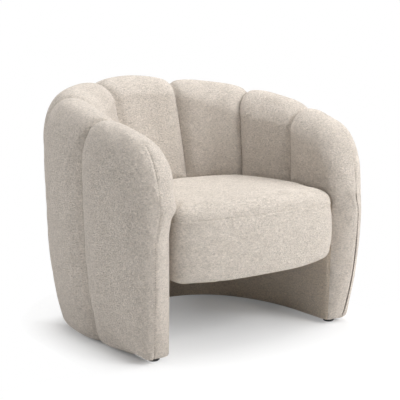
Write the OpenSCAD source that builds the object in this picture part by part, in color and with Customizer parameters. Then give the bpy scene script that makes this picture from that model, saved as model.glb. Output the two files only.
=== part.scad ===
// Tub chair: a channelled barrel shell round a seat drum, on low glides.
// The chair faces -Y. Millimetres, +Z up, origin on the floor under the middle of its box.
// A place on the wall is given by a station, the distance along the inner wall from the middle
// of the back, by an offset outwards from that wall, and by a height.

/* [Barrel plan] */
// Radius of the inner wall across the middle of the back
back_r = 407; // [360:1:460]
// Turn of that stretch on each side, in degrees
back_angle = 5.7; // [4:0.1:9]
// Radius of the inner wall at each back corner
shoulder_r = 220; // [200:1:240]
// Turn of each back corner, in degrees
shoulder_angle = 54.3; // [52:0.1:58]
// Radius of the inner wall along each side
side_r = 479; // [440:1:560]
// Turn of each side, in degrees
side_angle = 28.2; // [24:0.1:30]
// Straight run at the front of each arm
arm_run = 190; // [160:5:220]

/* [Heights] */
// Height of the wall's crown at the middle of the back, without the swell of its channels
back_h = 708; // [660:2:760]
// Height that the crown line would reach at the arm fronts, were the corner not rounded
arm_h = 563; // [510:1:620]
// Gap between the floor and the wall
floor_gap = 20; // [14:1:30]
// Height of the seat where it meets the wall
seat_h = 402; // [380:2:430]
// Height of the seat drum, from its underside to the seat's edge
drum_h = 194; // [180:2:220]

/* [Wall] */
// Depth of the crown on the inner side at the back
crown_in_back = 78; // [66:1:90]
// Depth of the crown on the inner side at the arms
crown_in_arm = 63; // [54:1:72]
// Depth of the crown on the outer side at the back
crown_out_back = 87; // [74:1:100]
// Depth of the crown on the outer side at the arms
crown_out_arm = 61; // [52:1:70]
// Extra depth of the crown on the inner side at each back corner
crown_in_shoulder = 12; // [0:1:20]
// Height over which the inner side rounds over to the crown at the back
round_in_back = 50; // [40:1:60]
// Height over which the inner side rounds over to the crown at the arms
round_in_arm = 76; // [60:1:90]
// Extra height of that rounding at each back corner
round_in_shoulder = 29; // [0:1:40]
// Height over which the outer side rounds over to the crown
round_out = 152; // [120:1:175]
// Length of the rounded corner at the top of each arm front
corner_run = 119; // [90:1:140]
// Height of that rounded corner
corner_drop = 212; // [170:1:230]
// How far the outer side is drawn in at the floor
tuck = 43; // [30:1:55]
// How far the arm fronts are drawn back at the floor
front_tuck = 42; // [0:1:46]
// Height at which the sides start to draw in
tuck_h = 600; // [520:2:640]
// Swell of each channel between its seams
swell = 11; // [4:0.5:14]
// How much less the channels swell on the inner side of the arms
swell_less = 4; // [0:0.5:4]
// Station of the seam between the back channel and the next
seam_back = 87; // [78:1:100]
// Station of the seam between the second channel and the shoulder channel
seam_shoulder = 242; // [230:1:258]
// Station of the seam between the shoulder channel and the arm channel
seam_arm = 438; // [425:1:455]
// How far those three seams run forward on the inner side, from the crown down to the seat
seam_back_drift = 13; // [0:1:16]
seam_shoulder_drift = 35; // [0:1:38]
seam_arm_drift = 20; // [0:1:24]
// Length of the facing on each arm front
facing_len = 52; // [44:1:60]

/* [Seat] */
// How far the seat's front stands ahead of the arms
seat_proud = 8; // [0:1:30]
// Rise of the seat's crown over its edge
seat_crown = 22; // [8:1:30]
// Clearance between the seat drum and the wall
seat_gap = 3; // [1:0.5:6]

/* [Timber] */
// Thickness of the plywood plates, formers and rings
ply = 18; // [12:1:21]
// Thickness of the bent hardboard band round the seat frame
hardboard = 3; // [2:0.5:4]
// Height of the rails between the formers
rail_h = 60; // [40:1:70]
// Thickness of the rails between the formers
rail_t = 28; // [22:1:32]

/* [Padding] */
// Thickness of the padding on the inner side
pad_inner = 40; // [30:1:42]
// Thickness of the padding on the outer side
pad_outer = 20; // [12:1:28]
// Thickness of the lower lining
lining = 8; // [5:1:12]
// Thickness of the seat border's padding
border_t = 14; // [12:1:18]
// Thickness of the dust covers
dust_t = 1.5; // [1:0.5:3]

/* [Seat frame] */
// Width of the plywood rings
ring_w = 62; // [50:1:80]
// Height of the whole seat frame
seat_frame_h = 103; // [90:1:110]
// Thickness of the elastic webbing
web_t = 2; // [1.5:0.5:3]
// Width of the elastic webbing
web_w = 50; // [40:1:60]

/* [Fasteners and feet] */
// Diameter of the seat bolts
bolt_d = 8; // [6:1:10]
// Diameter of the glides
glide_d = 34; // [26:1:38]

/* [Hidden] */

// Clearance between soft pieces and what they lie on
fit = 0.4;
// Clearance between the timber and the padding over it
timber_fit = 1.4;
// Degrees in a radian
deg = 180 / PI;
// Shares that shape the wall: fall of the crown line, recline of the inner side, and how full the
// corner and the two rounded sides are
crown_fall_share = 1.34;
lean_back_share = 0.35;
lean_arm_share = -0.18;
corner_share = 2.7;
round_in_back_share = 1.6;
round_in_arm_share = 1.84;
round_out_share = 2.37;
tuck_share = 3.97;
blend_share = 1.5;
// How far outwards the ridge lies at the arms
ridge_shift = 10;
// Reach of the back corners' extra depth to each side
shoulder_reach = 120;
// How far over the crown the padding thins, and how quickly
pad_turn_share = 1.1;
pad_blend_share = 0.2;
// Fullness of the swell of a channel
puff_share = 0.6;

function clamp(v, low, high) = max(low, min(high, v));
function share(v) = clamp(v, 0, 1);
function mix(a, b, t) = a * (1 - t) + b * t;

// Plan of the inner wall: three arcs that run into each other, then a straight arm
back_len = back_r * back_angle / deg;
shoulder_len = shoulder_r * shoulder_angle / deg;
side_len = side_r * side_angle / deg;
wall_len = back_len + shoulder_len + side_len + arm_run;
facing_at = wall_len - facing_len;

function turn_back(a) = min(a, back_len) / back_r * deg;
function turn_shoulder(a) = clamp(a - back_len, 0, shoulder_len) / shoulder_r * deg;
function turn_side(a) = clamp(a - back_len - shoulder_len, 0, side_len) / side_r * deg;
function heading(a) = turn_back(a) + turn_shoulder(a) + turn_side(a);
function past_arcs(a) = max(a - (wall_len - arm_run), 0);

// A point of the plan at station a and offset n, on the right-hand side of the chair
function plan_x(a) =
    let (t1 = turn_back(a), t2 = t1 + turn_shoulder(a), t3 = t2 + turn_side(a))
    back_r * sin(t1) + shoulder_r * (sin(t2) - sin(t1)) + side_r * (sin(t3) - sin(t2))
    + past_arcs(a) * cos(t3);
function plan_y(a) =
    let (t1 = turn_back(a), t2 = t1 + turn_shoulder(a), t3 = t2 + turn_side(a))
    back_r * (cos(t1) - 1) + shoulder_r * (cos(t2) - cos(t1)) + side_r * (cos(t3) - cos(t2))
    - past_arcs(a) * sin(t3);
function side_of(s) = s < 0 ? -1 : 1;
function wall_point(s, n, z) =
    let (a = abs(s), h = heading(a))
    [side_of(s) * (plan_x(a) + n * sin(h)), plan_y(a) + n * cos(h), z];
function flat_point(s, n) = let (p = wall_point(s, n, 0)) [p.x, p.y];

// Section of the wall at station a: the crown line, the corner at the arm front, the recline
function along(a) = pow(share(a / wall_len), blend_share);
function at_shoulder(a) = exp(-pow((a - seam_shoulder) / shoulder_reach, 2));
function crown_in(a) = mix(crown_in_back, crown_in_arm, along(a)) + crown_in_shoulder * at_shoulder(a);
function round_in(a) = mix(round_in_back, round_in_arm, along(a)) + round_in_shoulder * at_shoulder(a);
function round_in_share(a) = mix(round_in_back_share, round_in_arm_share, along(a));
function crown_out(a) = mix(crown_out_back, crown_out_arm, along(a));
function crown_line(a) = back_h - (back_h - arm_h) * pow(share(a / wall_len), crown_fall_share);
function into_corner(a) = share((a - wall_len + corner_run) / corner_run);
function superround(t, p) = pow(share(1 - pow(share(t), p)), 1 / p);
function top_z(a) = crown_line(a) - corner_drop * (1 - superround(into_corner(a), corner_share));
function closeness(a, z) =
    let (up = share((z - crown_line(a) + corner_drop) / corner_drop))
    pow(pow(into_corner(a), corner_share) + pow(up, corner_share), 1 / corner_share);
function fullness(a, z, height, p) =
    let (start = 1 - height / corner_drop)
    superround((closeness(a, z) - start) / (1 - start), p);
function lean(a, z) = mix(lean_back_share, lean_arm_share, along(a)) * max(z - seat_h, 0);
function ridge_n(a) = lean(a, crown_line(a) - round_in(a)) + crown_in(a) + ridge_shift * along(a);
function drawn_in(z) = pow(share((tuck_h - z) / (tuck_h - floor_gap)), tuck_share);
function inner_n(a, z) =
    let (face = lean(a, min(z, crown_line(a) - round_in(a))))
    ridge_n(a) - (ridge_n(a) - face) * fullness(a, z, round_in(a), round_in_share(a));
function outer_n(a, z) =
    ridge_n(a) + (crown_out(a) - ridge_shift * along(a) - tuck * drawn_in(z))
    * fullness(a, z, round_out, round_out_share);

// The skin of the wall, run from the foot of the inner side (v 0) over the crown (v 1) to the
// foot of the outer side (v 2), as [offset, height]
foot_share = 2;
function skin_z(a, v) = mix(floor_gap, top_z(a), sin(90 * (v < 1 ? v : foot_share - v)));
function skin(a, v) = let (z = skin_z(a, v)) [v < 1 ? inner_n(a, z) : outer_n(a, z), z];
function v_at(a, z) = asin(share((z - floor_gap) / (top_z(a) - floor_gap))) / 90;
function front_shift(a, z) = front_tuck * drawn_in(z) * pow(share((a - facing_at) / facing_len), 2);
function placed(s, nz) =
    let (a = abs(s), h = heading(a), back = front_shift(a, nz[1]), p = wall_point(s, nz[0], nz[1]))
    [p.x - side_of(s) * back * cos(h), p.y + back * sin(h), p.z];

// The same section drawn in by a thickness, which is where the padding ends and the timber starts
v_step_share = 0.004;
function unit(p) = p / norm(p);
function section_normal(a, v) =
    let (d = skin(a, min(v + v_step_share, foot_share)) - skin(a, max(v - v_step_share, 0)))
    unit([-d[1], d[0]]);
function pad_depth(v) = mix(pad_inner, pad_outer, share((v - pad_turn_share) / pad_blend_share));
function core(a, v, extra = 0) = skin(a, v) - (pad_depth(v) + extra) * section_normal(a, v);

// The swell of a channel between its two seams, square to the section
arm_rise = (seam_arm - seam_shoulder) / 2;
function between(a, low, high) = (2 * a - low - high) / (high - low);
function across(a) =
    a <= seam_back ? a / seam_back
    : a <= seam_shoulder ? between(a, seam_back, seam_shoulder)
    : a <= seam_arm ? between(a, seam_shoulder, seam_arm)
    : share(1 - (a - seam_arm) / arm_rise);
function swell_at(a, v) = swell - (v < 1 ? swell_less * along(a) : 0);
function puff(a, v) = swell_at(a, v) * pow(share(1 - pow(across(a), 2)), puff_share);
function upward(p) = [p[0], max(p[1], 0)];
function swollen(a, v, rise) = skin(a, v) + rise * upward(section_normal(a, v));
// The seams run forward on the inner side below the crown, and the wall between them with them
drift_start = 40;
function drift_at(a) = a <= seam_back ? seam_back_drift * a / seam_back
    : a <= seam_shoulder
        ? mix(seam_back_drift, seam_shoulder_drift, (a - seam_back) / (seam_shoulder - seam_back))
    : a <= seam_arm
        ? mix(seam_shoulder_drift, seam_arm_drift, (a - seam_shoulder) / (seam_arm - seam_shoulder))
    : seam_arm_drift * share((facing_at - a) / (facing_at - seam_arm));
function lowness(a, z) = share((crown_line(a) - drift_start - z) / (crown_line(a) - drift_start - seat_h));
function drifted(s, v) = v < 1 ? s + side_of(s) * drift_at(abs(s)) * lowness(abs(s), skin_z(abs(s), v)) : s;
function puffed(s, v) =
    let (a = abs(drifted(s, v))) placed(drifted(s, v), swollen(a, v, puff(abs(s), v)));

// Triangles between two rows of points, or two columns, numbered from a and from b
function strip(a, b, count) = [for (i = [0 : count - 1]) each
    [[a[i], b[i + 1], a[i + 1]], [a[i], b[i], b[i + 1]]]];
function turned(faces) = [for (f = faces) [f[2], f[1], f[0]]];

// A closed band of padding: an outer grid and an inner grid of the same size, joined round their rim
module padded_band(outer, inner) {
    cols = len(outer);
    rows = len(outer[0]);
    function at(layer, i, j) = (layer * cols + i) * rows + j;
    function column(layer, i) = [for (j = [0 : rows - 1]) at(layer, i, j)];
    function row(layer, j) = [for (i = [0 : cols - 1]) at(layer, i, j)];
    points = [for (grid = [outer, inner]) each [for (c = grid) each c]];
    faces = concat(
        [for (i = [0 : cols - 2]) each strip(column(0, i + 1), column(0, i), rows - 1)],
        [for (i = [0 : cols - 2]) each strip(column(1, i), column(1, i + 1), rows - 1)],
        strip(column(0, 0), column(1, 0), rows - 1),
        turned(strip(column(0, cols - 1), column(1, cols - 1), rows - 1)),
        strip(row(1, 0), row(0, 0), cols - 1),
        strip(row(0, rows - 1), row(1, rows - 1), cols - 1));
    polyhedron(points, faces, convexity = 6);
}

// One channel from station a to station b: padding over the wall, from the top of the lower
// lining on the inner side to the foot of the outer side
channel_col_count = 8;
channel_row_count = 21;
seam_gap = 0.3;
lining_drop = 12;
lining_top = seat_h - lining_drop;
function channel_run(s, j) = mix(v_at(abs(s), lining_top + fit), foot_share, j / channel_row_count);
function channel_stations(a, b) = [for (i = [0 : channel_col_count])
    mix(a + seam_gap / 2, b - seam_gap / 2, (1 - cos(180 * i / channel_col_count)) / 2)];
function level(p, j) = [p.x, p.y, j == 0 ? lining_top + fit : max(p.z, floor_gap)];
function channel_skin(a, b) = [for (s = channel_stations(a, b))
    [for (j = [0 : channel_row_count]) level(puffed(s, channel_run(s, j)), j)]];
function channel_core(a, b) = [for (s = channel_stations(a, b))
    [for (j = [0 : channel_row_count]) let (v = channel_run(s, j), d = drifted(s, v))
        level(placed(d, core(abs(d), v)), j)]];
module channel(a, b) padded_band(channel_skin(a, b), channel_core(a, b));

// The facing of an arm front, from its board to the tip, full height
facing_col_count = 6;
facing_row_count = 24;
tip_share = 0.9985;
facing_stations = [for (i = [0 : facing_col_count])
    mix(facing_at + seam_gap, wall_len - corner_run * (1 - tip_share), sin(90 * i / facing_col_count))];
// It swells like the channel beside it, except inside below the seat's top, where it stays plain
function plain(v, z) = v < 1 ? share((z - lining_top) / round_in_arm) : 1;
function facing_point(s, v) =
    let (t = share((s - facing_at) / facing_len))
    placed(s + swell * t * t, swollen(s, v, swell * sqrt(1 - t * t) * plain(v, skin_z(s, v))));
facing_skin = [for (s = facing_stations)
    [for (j = [0 : facing_row_count]) facing_point(s, foot_share * j / facing_row_count)]];
module facing() {
    cols = facing_col_count + 1;
    rows = facing_row_count + 1;
    half = facing_row_count / 2;
    function column(i) = [for (j = [0 : facing_row_count]) i * rows + j];
    function up(i) = [for (j = [0 : half]) i * rows + j];
    function down(i) = [for (j = [0 : half]) i * rows + facing_row_count - j];
    foot_in = [for (i = [0 : facing_col_count]) i * rows];
    foot_out = [for (i = [0 : facing_col_count]) i * rows + facing_row_count];
    faces = concat(
        [for (i = [0 : facing_col_count - 1]) each strip(column(i + 1), column(i), facing_row_count)],
        capped(strip(up(0), down(0), half)),
        capped(strip(down(facing_col_count), up(facing_col_count), half)),
        strip(foot_out, foot_in, facing_col_count));
    polyhedron([for (c = facing_skin) each c], faces, convexity = 4);
}
// The last pair of a strip that closes on one point keeps only its whole triangle
function capped(faces) = [for (f = faces) if (f[0] != f[1] && f[1] != f[2] && f[2] != f[0]) f];

// Plan of the seat drum: it follows the wall to the arms, then closes in a full, bowed front
seat_wall_count = 12;
seat_front_count = 12;
seat_join_share = 0.6;
seat_corner_share = 8;
seat_spacing_share = 1.5;
seat_bow = 20;
arm_front_y = min([for (c = facing_skin) each [for (p = c) p.y]]);
seat_front_y = arm_front_y - seat_proud;
seat_back_y = -seat_gap;
seat_join = wall_len - seat_join_share * arm_run;
seat_join_point = flat_point(seat_join, -seat_gap);
seat_splay = 1 / tan(heading(wall_len));
function seat_front_point(k) =
    let (w = 2 * k / seat_front_count - 1, q = 45 + 45 * sign(w) * pow(abs(w), seat_spacing_share),
        r = pow(pow(cos(q), seat_corner_share) + pow(sin(q), seat_corner_share), -1 / seat_corner_share),
        u = r * cos(q), bow = seat_bow * (1 - u * u) * min(1, r * sin(q)),
        reach = seat_join_point.y - seat_front_y - seat_bow,
        y = seat_join_point.y - reach * r * sin(q) - bow)
    [u * (seat_join_point.x + (seat_join_point.y - y) * seat_splay), y];
seat_right = concat(
    [for (i = [0 : seat_wall_count - 1]) flat_point(seat_join * i / seat_wall_count, -seat_gap)],
    [for (k = [0 : seat_front_count]) seat_front_point(k)]);
seat_count = 2 * (len(seat_right) - 1);
seat_outline = [for (i = [0 : seat_count - 1])
    i < len(seat_right) ? seat_right[i] : let (p = seat_right[seat_count - i]) [-p.x, p.y]];
seat_half_w = max([for (p = seat_right) p.x]);
seat_half_d = (seat_back_y - seat_front_y) / 2;
seat_mid_y = (seat_back_y + seat_front_y) / 2;
function seat_inset(d) = [for (p = seat_outline)
    [p.x * (1 - d / seat_half_w), seat_mid_y + (p.y - seat_mid_y) * (1 - d / seat_half_d)]];
function seat_scaled(k) = [for (p = seat_outline) [p.x * k, seat_mid_y + (p.y - seat_mid_y) * k]];
function at_height(points, z) = [for (p = points) [p.x, p.y, z]];

// Heights of the drum, from its underside up
hem_t = 6;
hem_w = 24;
under_round = 30;
edge_roll = 27;
seat_under = seat_h - drum_h;
seam_z = seat_h - edge_roll - fit;
border_h = seam_z - seat_under;
lower_inset = under_round + hem_t;
frame_z = seat_under + hem_t + fit;
lower_ring_top = frame_z + ply;
frame_top = frame_z + seat_frame_h;
upper_ring_z = frame_top - ply;
bolt_z = (lower_ring_top + upper_ring_z) / 2;
cushion_z = frame_top + 2 * web_t + fit;

// A closed ring lofted through rows of points, each row one loop, the last joined to the first
module ring_loft(rows) {
    count = len(rows[0]);
    function loop(r) = [for (i = [0 : count]) (r % len(rows)) * count + i % count];
    faces = [for (r = [0 : len(rows) - 1]) each strip(loop(r), loop(r + 1), count)];
    polyhedron([for (r = rows) each r], faces, convexity = 6);
}
// A closed drum lofted through rows of points from the bottom to the top, with a flat bottom and
// a point at the top
module drum_loft(rows, top) {
    count = len(rows[0]);
    last = len(rows) - 1;
    function loop(r) = [for (i = [0 : count]) r * count + i % count];
    faces = concat(
        [for (r = [0 : last - 1]) each strip(loop(r + 1), loop(r), count)],
        [for (i = [0 : count - 1]) [loop(last)[i], loop(last)[i + 1], (last + 1) * count]],
        [for (i = [1 : count - 2]) [loop(0)[0], loop(0)[i + 1], loop(0)[i]]]);
    polyhedron(concat([for (r = rows) each r], [top]), faces, convexity = 4);
}

// The border: upholstery round the frame, seamed to the cushion at its top, rolled under below
border_swell = 3;
border_draw = 3;
border_drop_shares = [0.12, 0.3, 0.6];
roll_in_shares = [0.12, 0.45];
roll_up_shares = [0.55, 0.16];
hem_in_share = 0.3;
module border_form() ring_loft([
    at_height(seat_inset(border_draw), seam_z),
    at_height(seat_inset(0), seam_z - border_h * border_drop_shares[0]),
    at_height(seat_inset(-border_swell / 2), seam_z - border_h * border_drop_shares[1]),
    at_height(seat_inset(-border_swell / 2), seam_z - border_h * border_drop_shares[2]),
    at_height(seat_inset(0), seat_under + under_round),
    at_height(seat_inset(under_round * roll_in_shares[0]), seat_under + under_round * roll_up_shares[0]),
    at_height(seat_inset(under_round * roll_in_shares[1]), seat_under + under_round * roll_up_shares[1]),
    at_height(seat_inset(under_round), seat_under),
    at_height(seat_inset(under_round + hem_w), seat_under),
    at_height(seat_inset(under_round + hem_w), seat_under + hem_t),
    at_height(seat_inset(lower_inset - fit), seat_under + hem_t),
    at_height(seat_inset(border_t + under_round * hem_in_share), seat_under + hem_t * 2),
    at_height(seat_inset(border_t), lower_ring_top - fit),
    at_height(seat_inset(border_t), seam_z)]);

// The cushion: a foam block on the webbing that spreads over the border and rises to its crown
roll_share = 9;
cushion_shares = [0.99, 0.97, 0.93, 0.86, 0.7, 0.42];
function crown_z(k) = seam_z + fit + edge_roll * sqrt(share(1 - pow(k, roll_share)))
    + seat_crown * (1 - k * k);
module cushion_form() drum_loft(concat(
    [at_height(seat_inset(border_t + fit), cushion_z),
     at_height(seat_inset(border_t + fit), seam_z + fit),
     at_height(seat_inset(border_draw), seam_z + fit)],
    [for (k = cushion_shares) at_height(seat_scaled(k), crown_z(k))]),
    [0, seat_mid_y, crown_z(0)]);

// A frame on the wall at a station: x runs outwards, y up, and z along the wall to the front
module at_station(s) {
    p = flat_point(s, 0);
    translate([p.x, p.y, 0]) rotate([0, 0, side_of(s) * (90 - heading(abs(s))) + (s < 0 ? 180 : 0)])
        rotate([90, 0, 0]) children();
}
// Along the outward direction at a station and height
module outwards(s, z) at_station(s) translate([0, z, 0]) rotate([0, 90, 0]) children();

// Flat pieces that follow the wall
plan_step = 24;
function plan_stations(a, b) =
    let (count = 2 * ceil((b - a) / plan_step / 2) + 1) [for (i = [0 : count]) mix(a, b, i / count)];
plate_out_share = 1.1;
function plate_out(a) = outer_n(a, floor_gap) - plate_out_share * pad_outer - fit;
plate_z = floor_gap + dust_t;
plate_top = plate_z + ply;
module c_plate() polygon(concat(
    [for (s = plan_stations(-facing_at, facing_at)) flat_point(s, lining + fit)],
    [for (s = plan_stations(-facing_at, facing_at)) flat_point(-s, plate_out(abs(s)))]));

// Plywood formers: the section of the timber at a seam, no wider than at either of its faces
former_row_count = 18;
function former_row(a, j) =
    let (start = v_at(a, lining_top + fit), end = foot_share - v_at(a, plate_top))
    core(a, mix(start, end, j / former_row_count), timber_fit);
function former_outline(s) =
    let (a = abs(s), rear = s - ply / 2, front = s + ply / 2)
    concat(
        [[lining + fit, plate_top], [lining + fit, lining_top],
         [max(former_row(rear, 0)[0], former_row(front, 0)[0]), lining_top]],
        [for (j = [1 : former_row_count])
            let (p = former_row(rear, j), q = former_row(front, j), z = max(min(p[1], q[1]), plate_top))
            [2 * j < former_row_count ? max(p[0], q[0]) : min(p[0], q[0]), z]]);
module former(s) at_station(s) translate([0, 0, -ply / 2]) linear_extrude(ply)
    polygon(former_outline(s));

// Rails between the formers, cut off at their faces
former_seams = [seam_back, seam_shoulder, seam_arm, facing_at - ply / 2];
bays = [for (i = [0 : 2]) [former_seams[i], former_seams[i + 1]]];
slot_reach = 2 * (crown_in_back + crown_out_back);
module former_slots() for (s = former_seams) both_sides() at_station(s)
    translate([0, 0, -ply / 2]) cube([slot_reach, back_h, ply]);

seat_rail_z = bolt_z - rail_h / 2;
module seat_rail(a, b) translate([0, 0, seat_rail_z]) linear_extrude(rail_h) polygon(concat(
    [for (s = plan_stations(a, b)) flat_point(s, lining + fit)],
    [for (s = plan_stations(-b, -a)) flat_point(-s, rail_out)]));

top_rail_drop = 46;
top_rail_h = 44;
top_rail_t = 24;
function cavity_top(a) = core(a, 1, timber_fit)[1];
function cavity_mid(a, z) = (inner_n(a, z) + pad_inner + outer_n(a, z) - pad_outer) / 2;
module top_rail(a, b) {
    z = min(cavity_top(abs(a)), cavity_top(abs(b))) - top_rail_drop;
    translate([0, 0, z - top_rail_h]) linear_extrude(top_rail_h) polygon(concat(
        [for (s = plan_stations(a, b)) flat_point(s, cavity_mid(abs(s), z) - top_rail_t / 2)],
        [for (s = plan_stations(-b, -a)) flat_point(-s, cavity_mid(abs(s), z) + top_rail_t / 2)]));
}

// Seat bolts, one to each side bay, from the posts of the seat frame out to the seat-level rails
bolt_stations = [for (b = bays) (b[0] + b[1]) / 2];
bolt_fit = 0.5;
thread_fit = 0.05;
washer_t = 2;
washer_d_share = 2.6;
head_h_share = 0.66;
head_d_share = 2;
nut_flange_t = 1.6;
nut_flange_d_share = 2.6;
nut_barrel_d_share = 1.3;
nut_barrel_h = 11;
post_w = 44;
post_d = 38;
frame_inset = border_t + fit;
post_inset = frame_inset + hardboard;
rail_out = lining + fit + rail_t;
module bolt_holes() for (s = bolt_stations) both_sides() outwards(s, bolt_z)
    cylinder(d = bolt_d + 2 * bolt_fit, h = 4 * (post_d + rail_out), center = true, $fn = 32);

module seat_slab(d, z, h) translate([0, 0, z]) linear_extrude(h) polygon(seat_inset(d));
module seat_ring(d, w, z, h) translate([0, 0, z]) linear_extrude(h) difference() {
    polygon(seat_inset(d));
    polygon(seat_inset(d + w));
}
front_post_shares = [-0.5, 0, 0.5];
module post_blocks() {
    for (s = bolt_stations) both_sides() outwards(s, bolt_z)
        translate([0, 0, -seat_gap - post_inset - post_d]) translate([0, 0, post_d])
            cube([upper_ring_z - lower_ring_top, post_w, 2 * post_d], center = true);
    for (k = front_post_shares)
        translate([k * seat_half_w, seat_front_y + post_inset, bolt_z])
            cube([post_w, 2 * post_d, upper_ring_z - lower_ring_top], center = true);
}

web_across_shares = [-0.62, -0.31, 0, 0.31, 0.62];
web_along_shares = [-0.6, -0.3, 0, 0.3, 0.6];
module webbing(z) intersection() {
    seat_slab(post_inset, z, web_t);
    children();
}

// Feet
glide_h = floor_gap;
glide_chamfer = 3;
glide_r = glide_d / 2;
glide_taper = 1;
glide_inset = 1;
stud_d = 8;
stud_fit = 0.1;
socket_depth = 12;
front_glide_at = facing_at - glide_r - glide_inset;
rear_glide_at = (seam_back + seam_shoulder) / 2;
glide_across_share = 0.6;
function glide_n(a) = mix(lining + fit, plate_out(a), glide_across_share);
module at_glide(a) both_sides() {
    p = flat_point(a, glide_n(a));
    translate([p.x, p.y, 0]) children();
}
module glide() rotate_extrude($fn = 48) polygon([
    [0, 0], [glide_r - glide_chamfer, 0], [glide_r, glide_chamfer], [glide_r - glide_taper, glide_h],
    [stud_d / 2 + stud_fit, glide_h], [stud_d / 2 + stud_fit, glide_h - socket_depth],
    [0, glide_h - socket_depth]]);
module stud(d = stud_d) translate([0, 0, glide_h - socket_depth])
    cylinder(d = d, h = socket_depth + dust_t + ply, $fn = 32);
module stud_holes() for (a = [front_glide_at, rear_glide_at]) at_glide(a) stud(stud_d + 2 * stud_fit);

// Everything is set out from the middle of the back's inner wall, then moved so that the origin
// is on the floor under the middle of the chair
back_edge = max([for (c = channel_skin(-seam_back, seam_back)) each [for (p = c) p.y]]);
front_edge = seat_front_y - border_swell / 2;
module centred() translate([0, -(back_edge + front_edge) / 2, 0]) children();
module both_sides() {
    children();
    mirror([1, 0, 0]) children();
}
module left_side() mirror([1, 0, 0]) children();

module channel_back() color("#c3b9ac") centred() channel(-seam_back, seam_back);
module channel_back_right() color("#bfb5a8") centred() channel(seam_back, seam_shoulder);
module channel_back_left() color("#bfb5a8") centred() left_side() channel(seam_back, seam_shoulder);
module channel_shoulder_right() color("#c3b9ac") centred() channel(seam_shoulder, seam_arm);
module channel_shoulder_left() color("#c3b9ac") centred() left_side() channel(seam_shoulder, seam_arm);
module channel_arm_right() color("#bfb5a8") centred() channel(seam_arm, facing_at);
module channel_arm_left() color("#bfb5a8") centred() left_side() channel(seam_arm, facing_at);
module arm_facing_right() color("#c9c0b3") centred() facing();
module arm_facing_left() color("#c9c0b3") centred() left_side() facing();
module lower_lining() color("#a49a8d") centred() difference() {
    translate([0, 0, floor_gap]) linear_extrude(lining_top - floor_gap) polygon(concat(
        [for (s = plan_stations(-facing_at, facing_at)) flat_point(s, 0)],
        [for (s = plan_stations(-facing_at, facing_at)) flat_point(-s, lining)]));
    bolt_holes();
}
module seat_cushion() color("#d2cabd") centred() cushion_form();
module seat_border() color("#c3b9ac") centred() difference() {
    border_form();
    bolt_holes();
}
module seat_upper_ring() color("#c8a878") centred() seat_ring(post_inset, ring_w, upper_ring_z, ply);
module seat_lower_ring() color("#c8a878") centred() seat_ring(lower_inset, ring_w, frame_z, ply);
module seat_posts() color("#b8935f") centred() difference() {
    intersection() {
        seat_slab(post_inset, lower_ring_top, upper_ring_z - lower_ring_top);
        post_blocks();
    }
    bolt_holes();
}
module seat_band() color("#8a6a45") centred() difference() {
    seat_ring(frame_inset, hardboard, lower_ring_top, frame_top - lower_ring_top);
    bolt_holes();
}
module seat_webbing_across() color("#3c3a38") centred() webbing(frame_top)
    for (k = web_across_shares) translate([0, seat_mid_y + k * seat_half_d, frame_top])
        cube([4 * seat_half_w, web_w, 4 * web_t], center = true);
module seat_webbing_along() color("#4a4744") centred() webbing(frame_top + web_t)
    for (k = web_along_shares) translate([k * seat_half_w, seat_mid_y, frame_top])
        cube([web_w, 4 * seat_half_d, 8 * web_t], center = true);
module seat_dust_cover() color("#2b2a29") centred()
    seat_slab(under_round + hem_w / 2, seat_under - dust_t, dust_t);
module base_plate() color("#c8a878") centred() difference() {
    translate([0, 0, plate_z]) linear_extrude(ply) c_plate();
    stud_holes();
}
module base_dust_cover() color("#2b2a29") centred() difference() {
    translate([0, 0, floor_gap]) linear_extrude(dust_t) c_plate();
    stud_holes();
}
module formers_back() color("#c8a878") centred() both_sides() former(seam_back);
module formers_shoulder() color("#c8a878") centred() both_sides() former(seam_shoulder);
module formers_arm() color("#c8a878") centred() both_sides() former(seam_arm);
module arm_front_boards() color("#b8935f") centred() both_sides() former(facing_at - ply / 2);
module seat_level_rails() color("#b8935f") centred() difference() {
    union() {
        seat_rail(-seam_back, seam_back);
        for (b = bays) both_sides() seat_rail(b[0], b[1]);
    }
    former_slots();
    bolt_holes();
    for (s = bolt_stations) both_sides() outwards(s, bolt_z) translate([0, 0, rail_out - nut_barrel_h])
        cylinder(d = bolt_d * nut_barrel_d_share + 2 * thread_fit, h = nut_barrel_h * 2, $fn = 32);
}
module top_rails() color("#b8935f") centred() difference() {
    union() {
        top_rail(-seam_back, seam_back);
        for (b = bays) both_sides() top_rail(b[0], b[1]);
    }
    former_slots();
}
module seat_bolts() color("#8f9499") centred() for (s = bolt_stations) both_sides()
    outwards(s, bolt_z) translate([0, 0, -seat_gap - post_inset - post_d - washer_t]) {
        cylinder(d = bolt_d, h = seat_gap + post_inset + post_d + washer_t + rail_out, $fn = 32);
        translate([0, 0, -bolt_d * head_h_share])
            cylinder(d = bolt_d * head_d_share, h = bolt_d * head_h_share, $fn = 6);
    }
module bolt_washers() color("#a7abb0") centred() for (s = bolt_stations) both_sides()
    outwards(s, bolt_z) translate([0, 0, -seat_gap - post_inset - post_d - washer_t]) difference() {
        cylinder(d = bolt_d * washer_d_share, h = washer_t, $fn = 40);
        translate([0, 0, -washer_t]) cylinder(d = bolt_d + 2 * thread_fit, h = washer_t * 3, $fn = 32);
    }
module t_nuts() color("#a7abb0") centred() for (s = bolt_stations) both_sides()
    outwards(s, bolt_z) translate([0, 0, rail_out]) difference() {
        union() {
            cylinder(d = bolt_d * nut_flange_d_share, h = nut_flange_t, $fn = 40);
            translate([0, 0, -nut_barrel_h])
                cylinder(d = bolt_d * nut_barrel_d_share, h = nut_barrel_h, $fn = 32);
        }
        cylinder(d = bolt_d + 2 * thread_fit, h = nut_barrel_h * 3, center = true, $fn = 32);
    }
module front_glides() color("#1c1b1a") centred() at_glide(front_glide_at) glide();
module rear_glides() color("#1c1b1a") centred() at_glide(rear_glide_at) glide();
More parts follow.
